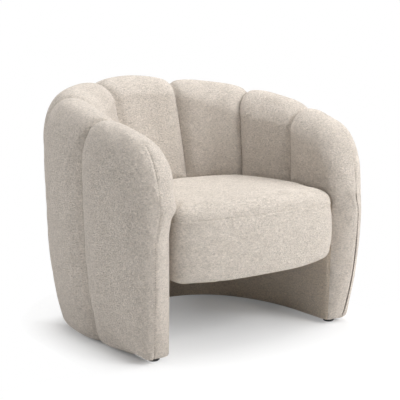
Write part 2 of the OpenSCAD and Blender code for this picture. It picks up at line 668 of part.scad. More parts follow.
module glide_studs() color("#8f9499") centred()
    for (a = [front_glide_at, rear_glide_at]) at_glide(a) stud();

channel_back();
channel_back_left();
channel_back_right();
channel_shoulder_left();
channel_shoulder_right();
channel_arm_left();
channel_arm_right();
arm_facing_left();
arm_facing_right();
lower_lining();
seat_cushion();
seat_border();
seat_upper_ring();
seat_lower_ring();
seat_posts();
seat_band();
seat_webbing_across();
seat_webbing_along();
seat_dust_cover();
base_plate();
base_dust_cover();
formers_back();
formers_shoulder();
formers_arm();
arm_front_boards();
seat_level_rails();
top_rails();
seat_bolts();
bolt_washers();
t_nuts();
front_glides();
rear_glides();
glide_studs();
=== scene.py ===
"""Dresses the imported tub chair: padded channels, arm facings, lining, seat drum and a plain studio.

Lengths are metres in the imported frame: +Z up, the chair faces -Y, and the origin is on the floor
under the middle of the chair. A place on the wall is given by a station, the distance along the
inner wall from the middle of the back (negative on the left), and by v, which runs from the foot of
the inner side (0) over the crown (1) to the foot of the outer side (2).
"""

import logging
import math
from dataclasses import dataclass
from enum import Enum

import bmesh
import bpy
import numpy as np
from mathutils import Matrix, Vector


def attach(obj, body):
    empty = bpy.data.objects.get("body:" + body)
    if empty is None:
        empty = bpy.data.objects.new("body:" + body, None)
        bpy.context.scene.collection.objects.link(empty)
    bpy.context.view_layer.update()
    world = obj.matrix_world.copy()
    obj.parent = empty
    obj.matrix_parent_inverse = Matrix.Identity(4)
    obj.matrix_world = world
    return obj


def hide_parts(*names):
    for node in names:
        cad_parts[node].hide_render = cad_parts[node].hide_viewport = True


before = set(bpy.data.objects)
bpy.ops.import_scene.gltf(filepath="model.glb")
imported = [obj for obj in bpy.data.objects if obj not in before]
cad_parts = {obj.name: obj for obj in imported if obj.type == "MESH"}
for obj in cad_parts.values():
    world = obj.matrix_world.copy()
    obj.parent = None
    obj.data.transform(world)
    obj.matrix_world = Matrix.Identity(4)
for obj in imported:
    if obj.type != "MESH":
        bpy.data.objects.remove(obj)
log = logging.getLogger("tub_chair")

MERGE = 2e-5  # metres within which points are one


class Slot(Enum):
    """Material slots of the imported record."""

    COVER = "cover_fabric"
    LINING = "lining_fabric"
    SEAT = "seat_fabric"
    DUST = "dust_cloth"


class Side(Enum):
    """Which half of the chair a piece belongs to, as the sign of its stations."""

    LEFT = -1
    RIGHT = 1


# ---- finishes


def _node(tree: bpy.types.NodeTree, kind: str, **values: object) -> bpy.types.Node:
    """Adds a shader node, sets its properties and sets or links its inputs.

    Args:
        tree: The node tree that takes the node.
        kind: The node's type name without its prefix.
        values: Properties by their name, or inputs by their name with spaces as underscores. An
            input takes a constant or another node's output.

    Returns:
        The new node.
    """
    made = tree.nodes.new("ShaderNode" + kind)
    for name, value in values.items():
        if hasattr(made, name):
            setattr(made, name, value)
        elif isinstance(value, bpy.types.NodeSocket):
            tree.links.new(value, made.inputs[name.replace("_", " ")])
        else:
            made.inputs[name.replace("_", " ")].default_value = value
    return made


def _math(tree: bpy.types.NodeTree, operation: str,
          *values: float | bpy.types.NodeSocket) -> bpy.types.NodeSocket:
    """Adds a sum over constants and other nodes' outputs.

    Args:
        tree: The node tree.
        operation: What is done with the values.
        values: Constants or outputs, in the order of the node's inputs.

    Returns:
        The result's socket.
    """
    made = _node(tree, "Math", operation=operation)
    for socket, value in zip(made.inputs, values):
        if isinstance(value, bpy.types.NodeSocket):
            tree.links.new(value, socket)
        else:
            socket.default_value = value
    return made.outputs["Value"]


def _range(tree: bpy.types.NodeTree, value: bpy.types.NodeSocket, low: float, high: float,
           to_low: float = 0.0, to_high: float = 1.0) -> bpy.types.NodeSocket:
    """Stretches a value from one range to another, held at both ends.

    Args:
        tree: The node tree.
        value: The value's socket.
        low: Where the first range starts.
        high: Where it ends.
        to_low: Where the second range starts.
        to_high: Where it ends.

    Returns:
        The result's socket.
    """
    return _node(tree, "MapRange", Value=value, From_Min=low, From_Max=high, To_Min=to_low,
                 To_Max=to_high).outputs["Result"]


def _tones(tree: bpy.types.NodeTree, share: bpy.types.NodeSocket,
           *stops: tuple[float, tuple[float, float, float, float]]) -> bpy.types.NodeSocket:
    """Turns a share into a colour.

    Args:
        tree: The node tree.
        share: The share's socket.
        stops: Places and their colours, in order.

    Returns:
        The colour's socket.
    """
    made = _node(tree, "ValToRGB", Fac=share)
    marks = made.color_ramp.elements
    marks[0].position, marks[0].color = stops[0]
    marks[1].position, marks[1].color = stops[-1]
    for position, colour in stops[1:-1]:
        marks.new(position).color = colour
    return made.outputs["Color"]


def _times(tree: bpy.types.NodeTree, first: bpy.types.NodeSocket,
           second: bpy.types.NodeSocket) -> bpy.types.NodeSocket:
    """Multiplies two colours, or a colour and a value.

    Args:
        tree: The node tree.
        first: A colour's socket.
        second: The other's socket.

    Returns:
        The product's socket.
    """
    made = _node(tree, "Mix", data_type="RGBA", blend_type="MULTIPLY", Factor=1.0)
    tree.links.new(first, made.inputs[6])
    tree.links.new(second, made.inputs[7])
    return made.outputs[2]


def _tint(base: tuple[float, float, float], gain: float) -> tuple[float, float, float, float]:
    """Returns the colour made lighter or darker, with full opacity."""
    return (base[0] * gain, base[1] * gain, base[2] * gain, 1.0)


@dataclass(frozen=True)
class Noise:
    """A noise texture: its cells to the metre, and how they break up and twist."""

    scale: float
    detail: float
    roughness: float = 0.5
    distortion: float = 0.0

    def lay(self, tree: bpy.types.NodeTree, where: bpy.types.NodeSocket) -> bpy.types.NodeSocket:
        """Adds the texture and returns its value's socket."""
        return _node(tree, "TexNoise", Vector=where, Scale=self.scale, Detail=self.detail,
                     Roughness=self.roughness, Distortion=self.distortion).outputs["Fac"]


@dataclass(frozen=True)
class Finish:
    """A finish with one Principled shader, patterned in Object coordinates."""

    name: str
    base: tuple[float, float, float]

    def look(self, tree: bpy.types.NodeTree, where: bpy.types.NodeSocket) -> dict[str, object]:
        """Says what the shader's inputs are: here a plain colour."""
        return {"Base Color": _tint(self.base, 1.0)}

    def build(self) -> bpy.types.Material:
        """Builds the material.

        Returns:
            The finished material.
        """
        made = bpy.data.materials.new(self.name)
        made.use_nodes = True
        tree = made.node_tree
        tree.nodes.clear()
        where = _node(tree, "TexCoord").outputs["Object"]
        inputs = {name.replace(" ", "_"): value for name, value in self.look(tree, where).items()}
        shader = _node(tree, "BsdfPrincipled", **inputs)
        _node(tree, "OutputMaterial", Surface=shader.outputs["BSDF"])
        return made


@dataclass(frozen=True)
class LoopedCloth(Finish):
    """Short looped melange upholstery cloth: mottled yarn colours over a knobbly, curled pile."""

    mottle: float = 0.16
    pile: float = 0.0016
    pile_strength: float = 0.75
    flattened: float = 1.7
    cloud: Noise = Noise(26.0, 3.0, 0.55)
    fleck: Noise = Noise(150.0, 4.0, 0.7)
    fuzz: Noise = Noise(900.0, 2.0, 0.6)
    curl: Noise = Noise(140.0, 3.0, 0.6, 1.4)
    knob_cells: float = 330.0
    # How far the curls' tone follows their bump: painted shade in the hollows and painted highlight on the
    # tops.
    curl_painted_shade: float = 0.17
    curl_height: float = 0.0080
    curl_strength: float = 0.8
    roughness: float = 0.95
    gloss: float = 0.18
    sheen: float = 0.22
    sheen_roughness: float = 0.55

    def look(self, tree: bpy.types.NodeTree, where: bpy.types.NodeSocket) -> dict[str, object]:
        """Lays flecks and clouds over the base colour, paints shade into the gaps between the knobs, and
        paints the curls darker in their hollows and lighter on their tops.

        Args:
            tree: The material's nodes.
            where: The coordinates' socket.

        Returns:
            The shader's inputs by name.
        """
        rows = _node(tree, "Mapping", Vector=where, Scale=(1.0, 1.0, self.flattened)).outputs["Vector"]
        cloud, fleck, fuzz, curl = (
            noise.lay(tree, rows) for noise in (self.cloud, self.fleck, self.fuzz, self.curl))
        knob = _node(tree, "TexVoronoi", Vector=rows, Scale=self.knob_cells,
                     Randomness=1.0).outputs["Distance"]
        colour = _tones(tree, fleck, (0.28, _tint(self.base, 1 - self.mottle * 1.6)),
                        (0.5, _tint(self.base, 1.0)), (0.74, _tint(self.base, 1 + self.mottle)))
        # The cloud is the yarn's own tone. The knob term is painted shade in the gaps between loops, and
        # the curl term is painted shade in the curls' hollows with painted highlight on their tops.
        for shade in (_tones(tree, cloud, (0.3, (0.93, 0.925, 0.915, 1.0)), (0.7, (1.0, 1.0, 1.0, 1.0))),
                      _range(tree, knob, 0.0, 0.75, 1.0, 0.85),
                      _range(tree, curl, 0.32, 0.68, 1 - self.curl_painted_shade, 1 + self.curl_painted_shade)):
            colour = _times(tree, colour, shade)
        knobbly = _node(tree, "Bump", Strength=self.pile_strength, Distance=self.pile,
                        Height=_math(tree, "MULTIPLY_ADD", knob, -1.0, fuzz))
        curled = _node(tree, "Bump", Strength=self.curl_strength, Distance=self.curl_height, Height=curl,
                       Normal=knobbly.outputs["Normal"])
        return {"Base Color": colour, "Normal": curled.outputs["Normal"], "Roughness": self.roughness,
                "Specular IOR Level": self.gloss, "Sheen Weight": self.sheen,
                "Sheen Roughness": self.sheen_roughness, "Sheen Tint": (1.0, 0.97, 0.92, 1.0)}


@dataclass(frozen=True)
class WovenCloth(Finish):
    """Thin plain cloth: nonwoven dust cover, elastic webbing or sewing thread."""

    thread: float = 420.0
    relief: float = 0.0004
    roughness: float = 0.9
    gloss: float = 0.2

    def look(self, tree: bpy.types.NodeTree, where: bpy.types.NodeSocket) -> dict[str, object]:
        """Crosses bands of thread under a fine grain.

        Args:
            tree: The material's nodes.
            where: The coordinates' socket.

        Returns:
            The shader's inputs by name.
        """
        warp, weft = (_node(tree, "TexWave", Vector=where, Scale=self.thread / 6, Distortion=1.5,
                            bands_direction=way).outputs["Fac"] for way in ("X", "Y"))
        grain = Noise(self.thread, 3.0).lay(tree, where)
        crossed = _math(tree, "MAXIMUM", warp, weft)
        bump = _node(tree, "Bump", Strength=0.4, Distance=self.relief, Height=crossed)
        colour = _tones(tree, grain, (0.0, _tint(self.base, 0.7)), (1.0, _tint(self.base, 1.25)))
        return {"Base Color": colour, "Normal": bump.outputs["Normal"], "Roughness": self.roughness,
                "Specular IOR Level": self.gloss}


@dataclass(frozen=True)
class SawnWood(Finish):
    """Unfinished timber, plywood or hardboard, with grain along one direction."""

    stretch: tuple[float, float, float] = (1.0, 1.0, 1.0)
    rings: float = 9.0
    plies: float = 0.0
    relief: float = 0.0006
    roughness: float = 0.72

    def look(self, tree: bpy.types.NodeTree, where: bpy.types.NodeSocket) -> dict[str, object]:
        """Draws the grain out, and for plywood bands it with its plies.

        Args:
            tree: The material's nodes.
            where: The coordinates' socket.

        Returns:
            The shader's inputs by name.
        """
        drawn = _node(tree, "Mapping", Vector=where, Scale=self.stretch).outputs["Vector"]
        grain = Noise(self.rings, 7.0, 0.62, 0.6).lay(tree, drawn)
        colour = _tones(tree, grain, (0.3, _tint(self.base, 0.68)), (0.72, _tint(self.base, 1.18)))
        if self.plies:
            layers = _node(tree, "TexWave", Vector=where, Scale=self.plies, Distortion=0.4,
                           bands_direction="Z")
            colour = _times(tree, colour, _range(tree, layers.outputs["Fac"], 0.0, 1.0, 0.8, 1.05))
        bump = _node(tree, "Bump", Strength=0.25, Distance=self.relief, Height=grain)
        return {"Base Color": colour, "Normal": bump.outputs["Normal"], "Roughness": self.roughness}


@dataclass(frozen=True)
class PlatedSteel(Finish):
    """Zinc-plated steel with fine mottling."""

    spangle: Noise = Noise(260.0, 4.0)
    roughness: tuple[float, float] = (0.26, 0.44)

    def look(self, tree: bpy.types.NodeTree, where: bpy.types.NodeSocket) -> dict[str, object]:
        """Mottles the plating's colour and gloss.

        Args:
            tree: The material's nodes.
            where: The coordinates' socket.

        Returns:
            The shader's inputs by name.
        """
        spangle = self.spangle.lay(tree, where)
        colour = _tones(tree, spangle, (0.0, _tint(self.base, 0.82)), (1.0, _tint(self.base, 1.12)))
        return {"Base Color": colour, "Metallic": 1.0,
                "Roughness": _range(tree, spangle, 0.0, 1.0, *self.roughness)}


@dataclass(frozen=True)
class MouldedPlastic(Finish):
    """Matt moulded plastic with a light spark texture and dusty scuffs."""

    spark: Noise = Noise(700.0, 2.0)
    scuff: Noise = Noise(90.0, 4.0)
    relief: float = 0.0002
    roughness: float = 0.55

    def look(self, tree: bpy.types.NodeTree, where: bpy.types.NodeSocket) -> dict[str, object]:
        """Lays scuffs and a spark texture over the base colour.

        Args:
            tree: The material's nodes.
            where: The coordinates' socket.

        Returns:
            The shader's inputs by name.
        """
        bump = _node(tree, "Bump", Strength=0.3, Distance=self.relief, Height=self.spark.lay(tree, where))
        colour = _tones(tree, self.scuff.lay(tree, where), (0.45, _tint(self.base, 1.0)),
                        (0.8, _tint(self.base, 2.2)))
        return {"Base Color": colour, "Normal": bump.outputs["Normal"], "Roughness": self.roughness}


# ---- shared helpers


def _unit(value: np.ndarray) -> np.ndarray:
    """Holds values between 0 and 1."""
    return np.clip(value, 0, 1)


def _smooth(share: np.ndarray) -> np.ndarray:
    """Eases shares in and out."""
    return share ** 2 * (3 - 2 * share)


def _hump(value: np.ndarray, width: float) -> np.ndarray:
    """A smooth hump of height 1 at 0, of a given width."""
    return np.exp(-((value / width) ** 2))


def _declare(piece: bpy.types.Object, material: bpy.types.Material, node: str) -> None:
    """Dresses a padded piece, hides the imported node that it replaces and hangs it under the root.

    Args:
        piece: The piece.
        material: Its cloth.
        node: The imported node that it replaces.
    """
    piece.data.materials.append(material)
    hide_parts(node)
    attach(piece, "root")
    log.info("%s: %d faces", piece.name, len(piece.data.polygons))


def _graded(length: float, first: float = 0.0014, growth: float = 1.32,
            widest: float = 0.0072) -> np.ndarray:
    """Places from 0 to 1 that start fine at both ends and widen towards the middle.

    Args:
        length: The whole length in metres.
        first: The first step in metres.
        growth: How much each step is longer than the one before.
        widest: The longest step in metres.

    Returns:
        The places as shares of the length, from 0 to 1.
    """
    steps, at, step = [0.0], 0.0, first
    while at + step < length / 2:
        at += step
        steps.append(at)
        step = min(step * growth, widest)
    half = np.array(steps) / steps[-1] / 2 if len(steps) > 1 else np.array([0.0, 0.5])
    return np.concatenate([half, 1 - half[-2::-1]])


def _grid_piece(name: str, points: np.ndarray, keep: np.ndarray | None = None,
                depth: np.ndarray | None = None) -> bpy.types.Object:
    """Makes a sheet of quads through a grid of points.

    Args:
        name: The object's name.
        points: Columns by rows by three coordinates.
        keep: Cells to keep, columns less one by rows less one, or None for all.
        depth: Share of the full padding behind each point, or None for full padding.

    Returns:
        The new object, linked to the scene.
    """
    cols, rows = points.shape[:2]
    bm = bmesh.new()
    bmesh.ops.create_grid(bm, x_segments=cols - 1, y_segments=rows - 1, size=1.0)
    padded = bm.verts.layers.deform.verify() if depth is not None else None
    place = {vert: (round((vert.co.x + 1) / 2 * (cols - 1)), round((vert.co.y + 1) / 2 * (rows - 1)))
             for vert in bm.verts}
    if keep is not None:
        gone = [f for f in bm.faces
                if not keep[min(place[v][0] for v in f.verts), min(place[v][1] for v in f.verts)]]
        bmesh.ops.delete(bm, geom=gone, context="FACES")
    for vert in bm.verts:
        vert.co = points[place[vert]]
        if padded:
            vert[padded][0] = float(depth[place[vert]])
    bmesh.ops.remove_doubles(bm, verts=bm.verts, dist=MERGE)
    made = _to_object(name, bm)
    if padded:
        made.vertex_groups.new(name="padding")
    return made


def _circle(bm: bmesh.types.BMesh, count: int, cap: bool) -> list[bmesh.types.BMVert]:
    """Makes a circle of vertices and lists them anticlockwise, from the right-hand side."""
    bmesh.ops.create_circle(bm, cap_ends=cap, segments=count, radius=1.0)
    return sorted(bm.verts, key=lambda v: math.atan2(v.co.y, v.co.x) % math.tau)


def _lay(verts: list[bmesh.types.BMVert], ring: np.ndarray, z: float | np.ndarray) -> None:
    """Moves vertices to a ring's points, at one height or at a height each."""
    for vert, point, level in zip(verts, ring, z * np.ones(len(ring))):
        vert.co = (point[0], point[1], level)


def _to_object(name: str, bm: bmesh.types.BMesh) -> bpy.types.Object:
    """Turns a bmesh into a smooth-shaded object at the origin and frees it.

    Args:
        name: The object's name.
        bm: The bmesh.

    Returns:
        The new object.
    """
    mesh = bpy.data.meshes.new(name)
    for face in bm.faces:
        face.smooth = True
    bm.to_mesh(mesh)
    bm.free()
    made = bpy.data.objects.new(name, mesh)
    bpy.context.scene.collection.objects.link(made)
    return made


def _face_outwards(piece: bpy.types.Object, hint: Vector, near: Vector) -> None:
    """Turns the whole sheet round if its face nearest a place doesn't face the hint.

    Args:
        piece: A sheet whose faces agree with each other.
        hint: The direction in which the sheet should face there.
        near: The place.
    """
    bm = bmesh.new()
    bm.from_mesh(piece.data)
    bm.normal_update()
    nearest = min(bm.faces, key=lambda f: (f.calc_center_median() - near).length)
    if nearest.normal.dot(hint) < 0:
        bmesh.ops.reverse_faces(bm, faces=bm.faces)
    bm.to_mesh(piece.data)
    bm.free()


def _thicken(piece: bpy.types.Object, thickness: float, rim: float = 0.0, smooth: int = 1) -> None:
    """Closes a sheet into a padded form, inwards from its face, and smooths it.

    Args:
        piece: The sheet.
        thickness: How thick the padding is.
        rim: How sharp the rim of the face stays, from 0 to 1.
        smooth: Levels of subdivision.
    """
    if rim >= 1:
        bm = bmesh.new()
        bm.from_mesh(piece.data)
        for edge in bm.edges:
            edge.smooth = not edge.is_boundary
        bm.to_mesh(piece.data)
        bm.free()
    solid = piece.modifiers.new("padding", "SOLIDIFY")
    solid.thickness = thickness
    solid.offset = -1.0
    solid.edge_crease_outer = rim
    solid.use_quality_normals = True
    if piece.vertex_groups:
        solid.vertex_group = piece.vertex_groups[0].name
    if smooth:
        rounded = piece.modifiers.new("rounding", "SUBSURF")
        rounded.levels = rounded.render_levels = smooth


def _bake(piece: bpy.types.Object) -> None:
    """Applies a piece's modifiers to its mesh.

    Args:
        piece: The piece.
    """
    graph = bpy.context.evaluated_depsgraph_get()
    baked = bpy.data.meshes.new_from_object(piece.evaluated_get(graph))
    piece.modifiers.clear()
    old, piece.data = piece.data, baked
    bpy.data.meshes.remove(old)


# ---- the wall as a surface


@dataclass(frozen=True)
class BarrelWall:
    """Shape of the wall that runs round the back and down both arms."""

    back_radius: float = 0.406966
    back_sweep: float = 5.7
    shoulder_radius: float = 0.220013
    shoulder_sweep: float = 54.321
    side_radius: float = 0.479343
    side_sweep: float = 28.192
    arm_run: float = 0.190402
    back_y: float = 0.1384
    back_height: float = 0.708
    arm_height: float = 0.562677
    crown_fall: float = 1.339
    corner_run: float = 0.118796
    corner_drop: float = 0.212098
    corner_fullness: float = 2.704
    foot_height: float = 0.0105
    foot_round_outer: float = 0.024
    foot_round_inner: float = 0.009
    foot_round_nose: float = 0.015
    foot_turn: float = 0.080
    foot_climb: float = 0.5
    foot_reach: float = 0.85
    nose_core: float = 0.095
    seat_height: float = 0.402
    lean_back: float = 0.35
    lean_arm: float = -0.182
    inner_depth_back: float = 0.077761
    inner_depth_arm: float = 0.062869
    inner_depth_shoulder: float = 0.011709
    inner_round_back: float = 0.049611
    inner_round_arm: float = 0.076138
    inner_round_shoulder: float = 0.029045
    inner_fullness_back: float = 1.604
    inner_fullness_arm: float = 1.842
    outer_depth_back: float = 0.08749
    outer_depth_arm: float = 0.061247
    outer_round: float = 0.1518
    outer_fullness: float = 2.366
    outer_ease: float = 0.16
    nose_round_low: float = 0.010
    ridge_shift: float = 0.009716
    ridge_low: float = 0.016
    tuck: float = 0.043408
    tuck_height: float = 0.6
    tuck_foot: float = 0.020741
    tuck_power: float = 3.966
    nose_back: float = 0.041871
    nose_length: float = 0.06
    shoulder_at: float = 0.241841
    shoulder_spread: float = 0.12
    swell: float = 0.0122
    swell_arm: float = -0.0041
    swell_power: float = 2.3
    swell_reach: float = 0.66
    swell_turn: float = 0.25
    base_drop: float = 0.0027
    seams: tuple[float, float, float] = (0.086834, 0.241841, 0.437723)
    seam_shifts: tuple[float, float, float] = (0.013009, 0.034675, 0.019739)
    crease: float = 0.0072
    crease_width: float = 0.0082
    nose_ease: float = 0.35
    nose_fade: float = 0.05
    low_above: float = 0.008
    low_fade: float = 0.08
    ease_below: float = 0.10
    ease_fade: float = 0.12
    down_from: float = 0.040
    foot_fade: float = 0.05
    nose_edge: float = 0.0015

    @property
    def bends(self) -> tuple[tuple[float, float], ...]:
        """Radius and sweep of each bend of the plan, from the back to the arm."""
        return ((self.back_radius, self.back_sweep), (self.shoulder_radius, self.shoulder_sweep),
                (self.side_radius, self.side_sweep))

    @property
    def length(self) -> float:
        """Station of the arm's nose."""
        return sum(radius * math.radians(sweep) for radius, sweep in self.bends) + self.arm_run

    def pillow(self, amount: np.ndarray, share: np.ndarray) -> np.ndarray:
        """Rise of a panel at a share of the way from its seam (0) to its middle (1)."""
        near = _unit(1 - share / self.swell_reach)
        return amount * (1 - near ** self.swell_power) - self.base_drop

    def fullness(self, run: np.ndarray, v: np.ndarray) -> np.ndarray:
        """Swell of a panel's middle: less on the inner side of the arms, except at the nose.

        Args:
            run: Stations without their sign.
            v: Places over the section.

        Returns:
            The swell at each place.
        """
        inner = _unit((1 - v) / self.swell_turn)
        less = self.swell_arm * self.share_along(run) * inner ** 2 * (3 - 2 * inner)
        return self.swell + less * (1 - self.ahead(run, self.nose_length) ** 2)

    def ahead(self, run: np.ndarray, reach: float) -> np.ndarray:
        """How far a station has gone into the last stretch before the nose, from 0 to 1."""
        return _unit((run - self.length + reach) / reach)

    def plan(self, station: np.ndarray) -> tuple[np.ndarray, np.ndarray, np.ndarray, np.ndarray]:
        """Plan of the inner wall.

        Args:
            station: Signed stations.

        Returns:
            X and Y of the inner wall, and X and Y of the outward direction.
        """
        sign = np.where(station < 0, -1.0, 1.0)
        run = np.abs(station)
        x, y, turned = np.zeros_like(run), np.full_like(run, self.back_y), np.zeros_like(run)
        start = base = 0.0
        for radius, sweep in self.bends:
            arc = math.radians(sweep)
            part = np.clip(run - start, 0, radius * arc) / radius
            x = x + radius * (np.sin(base + part) - math.sin(base))
            y = y + radius * (np.cos(base + part) - math.cos(base))
            turned = turned + part
            start += radius * arc
            base += arc
        straight = np.clip(run - start, 0, None)
        x = x + straight * math.cos(base)
        y = y - straight * math.sin(base)
        return sign * x, y, sign * np.sin(turned), np.cos(turned)

    def share_along(self, run: np.ndarray) -> np.ndarray:
        """How far a station has gone from the back's form to the arm's, from 0 to 1."""
        return _unit(run / self.length) ** 1.5

    def blend(self, run: np.ndarray, back: float, arm: float) -> np.ndarray:
        """A size at each station, from its value at the back to its value at the arm."""
        share = self.share_along(run)
        return back * (1 - share) + arm * share

    def crown(self, run: np.ndarray) -> np.ndarray:
        """Height of the crown line before the corner at the arm front."""
        fall = _unit(run / self.length) ** self.crown_fall
        return self.back_height - (self.back_height - self.arm_height) * fall

    def top(self, run: np.ndarray) -> np.ndarray:
        """Height of the ridge, corner included.

        Args:
            run: Stations without their sign.

        Returns:
            The heights.
        """
        power = self.corner_fullness
        bend = _unit(1 - self.ahead(run, self.corner_run) ** power) ** (1 / power)
        return self.crown(run) - self.corner_drop * (1 - bend)

    def rounded(self, run: np.ndarray, z: np.ndarray, height: np.ndarray, power: np.ndarray) -> np.ndarray:
        """Share of its full depth that a side has at a place under the rounded ridge.

        Args:
            run: Stations without their sign.
            z: Heights.
            height: How far down the rounding reaches.
            power: How full the rounding is.

        Returns:
            The shares, from 0 at the ridge to 1.
        """
        into, fullness = self.ahead(run, self.corner_run), self.corner_fullness
        up = _unit((z - self.crown(run) + self.corner_drop) / self.corner_drop)
        close = _unit((into ** fullness + up ** fullness) ** (1 / fullness))
        ease = self.nose_ease * _unit((self.seat_height - z) / self.nose_fade)
        start = 1 - height / self.corner_drop
        part = np.clip((close - start) / (1 - start), -1, 1)
        part = _unit(0.5 * (part + np.sqrt(part ** 2 + ease ** 2 * (1 - _unit(part)))))
        return _unit(1 - part ** power) ** (1 / power)

    def offset(self, run: np.ndarray, z: np.ndarray, inner: np.ndarray) -> np.ndarray:
        """Offset of the skin from the inner wall's plan.

        Args:
            run: Stations without their sign.
            z: Heights.
            inner: True on the inner side.

        Returns:
            The offsets, outwards.
        """
        shoulder = _hump(run - self.shoulder_at, self.shoulder_spread)
        inner_depth = (self.blend(run, self.inner_depth_back, self.inner_depth_arm)
                       + self.inner_depth_shoulder * shoulder)
        inner_round = np.minimum(self.blend(run, self.inner_round_back, self.inner_round_arm)
                                 + self.inner_round_shoulder * shoulder, 0.95 * self.corner_drop)
        lean = self.blend(run, self.lean_back, self.lean_arm)
        shoulder_z = self.crown(run) - inner_round
        face = lean * np.clip(np.minimum(z, shoulder_z) - self.seat_height, 0, None)
        ridge = lean * np.clip(shoulder_z - self.seat_height, 0, None) + inner_depth
        lower = _smooth(_unit((self.seat_height + self.low_above - z) / self.low_fade))
        lower = lower * _unit(1 - self.low(z))
        middle = ridge + (self.ridge_shift + self.ridge_low * lower) * self.share_along(run)
        below = _unit((self.seat_height - z) / self.nose_fade)
        inner_n = middle - (middle - face) * self.rounded(
            run, z, inner_round + self.nose_round_low * below,
            self.blend(run, self.inner_fullness_back, self.inner_fullness_arm))
        outer_depth = ridge + self.blend(run, self.outer_depth_back, self.outer_depth_arm) - middle
        softer = self.outer_ease * _unit((self.crown(run) - self.ease_below - z) / self.ease_fade)
        bulge = self.rounded(run, z, np.full_like(run, self.outer_round), self.outer_fullness - softer)
        outer_n = middle + (outer_depth - self.tuck * self.low(z)) * bulge
        return np.where(inner, inner_n, outer_n)

    def low(self, z: np.ndarray) -> np.ndarray:
        """How strongly the foot is drawn in at a height, from 0 to 1."""
        drop = (self.tuck_height - z) / (self.tuck_height - self.tuck_foot)
        return np.clip(drop, 0, None) ** self.tuck_power

    def skin(self, station: np.ndarray, v: np.ndarray) -> np.ndarray:
        """Points of the wall's skin without the swell of its channels.

        Args:
            station: Signed stations.
            v: Places over the section, from 0 to 2.

        Returns:
            The points, in a last axis of three.
        """
        run = np.abs(station)
        z = self.height(run, v)
        n = self.offset(run, z, v <= 1)
        x, y, out_x, out_y = self.plan(station)
        sign = np.where(station < 0, -1.0, 1.0)
        back = self.nose_back * self.low(z) * self.ahead(run, self.nose_length) ** 2
        x = x + out_x * n - sign * out_y * back
        y = y + out_y * n + sign * out_x * back
        return np.stack([x, y, z], -1)

    def spine(self, station: np.ndarray) -> np.ndarray:
        """Points of the middle line of the wall's foot, which ends short of the nose.

        Args:
            station: Signed stations.

        Returns:
            The points.
        """
        held = np.clip(station, -self.length + self.nose_core, self.length - self.nose_core)
        z = np.full_like(held, self.tuck_foot)
        run, inner = np.abs(held), np.ones_like(held, bool)
        middle = 0.5 * (self.offset(run, z, inner) + self.offset(run, z, ~inner))
        x, y, out_x, out_y = self.plan(held)
        return np.stack([x + out_x * middle, y + out_y * middle, np.zeros_like(x)], -1)

    def forward(self, station: np.ndarray) -> np.ndarray:
        """Direction along the wall towards the nose.

        Args:
            station: Signed stations.

        Returns:
            The directions, of length 1.
        """
        out_x, out_y = self.plan(station)[2:]
        sign = np.where(station < 0, -1.0, 1.0)
        return np.stack([sign * out_y, -sign * out_x, np.zeros_like(out_x)], -1)

    def normal(self, station: np.ndarray, v: np.ndarray) -> np.ndarray:
        """Outward direction of the skin, forwards at the nose.

        Args:
            station: Signed stations.
            v: Places over the section.

        Returns:
            The directions, of length 1.
        """
        step, turn, tip = 0.0008, 0.004, self.length - 1e-5
        ahead = self.skin(np.clip(station + step, -tip, tip), v)
        behind = self.skin(np.clip(station - step, -tip, tip), v)
        over = self.skin(np.clip(station, -tip, tip), np.clip(v + turn, 0, 2))
        under = self.skin(np.clip(station, -tip, tip), np.clip(v - turn, 0, 2))
        out = np.cross(ahead - behind, over - under)
        size = np.linalg.norm(out, axis=-1, keepdims=True)
        out = out / np.maximum(size, 1e-12)
        near = self.ahead(np.abs(station), self.nose_edge)[..., None]
        out = out * (1 - near) + self.forward(station) * near
        return out / np.maximum(np.linalg.norm(out, axis=-1, keepdims=True), 1e-9)

    def down(self, run: np.ndarray, z: np.ndarray) -> np.ndarray:
        """Share of the way from the crown down to the seat."""
        start = self.crown(run) - self.down_from
        return _unit((start - z) / (start - self.seat_height))

    def height(self, run: np.ndarray, v: np.ndarray) -> np.ndarray:
        """Height of the skin at a station and place."""
        rise = np.sin(_unit(np.where(v <= 1, v, 2 - v)) * math.pi / 2)
        return self.foot_height + (self.top(run) - self.foot_height) * rise

    def seam(self, number: int, v: np.ndarray) -> np.ndarray:
        """Station of a seam at each place over the section.

        Args:
            number: 1, 2 or 3 from the back outwards, negative on the left, 4 for the nose.
            v: Places over the section.

        Returns:
            The signed stations.
        """
        sign = -1.0 if number < 0 else 1.0
        if abs(number) == 4:
            return np.full_like(v, sign * self.length)
        base, shift = self.seams[abs(number) - 1], self.seam_shifts[abs(number) - 1]
        run = np.full_like(v, base)
        for _ in range(3):
            run = base + np.where(v < 1, shift * self.down(run, self.height(run, v)), 0)
        return sign * run

    def places_for(self, top: np.ndarray, z: np.ndarray) -> np.ndarray:
        """The places on the inner side, under ridges of given heights, that have heights z."""
        return np.arcsin(_unit((z - self.foot_height) / (top - self.foot_height))) * 2 / math.pi

    def place_for(self, run: float, z: float) -> float:
        """The place on the inner side at which a station has a height."""
        return float(self.places_for(self.top(np.array([run])), np.array([z]))[0])

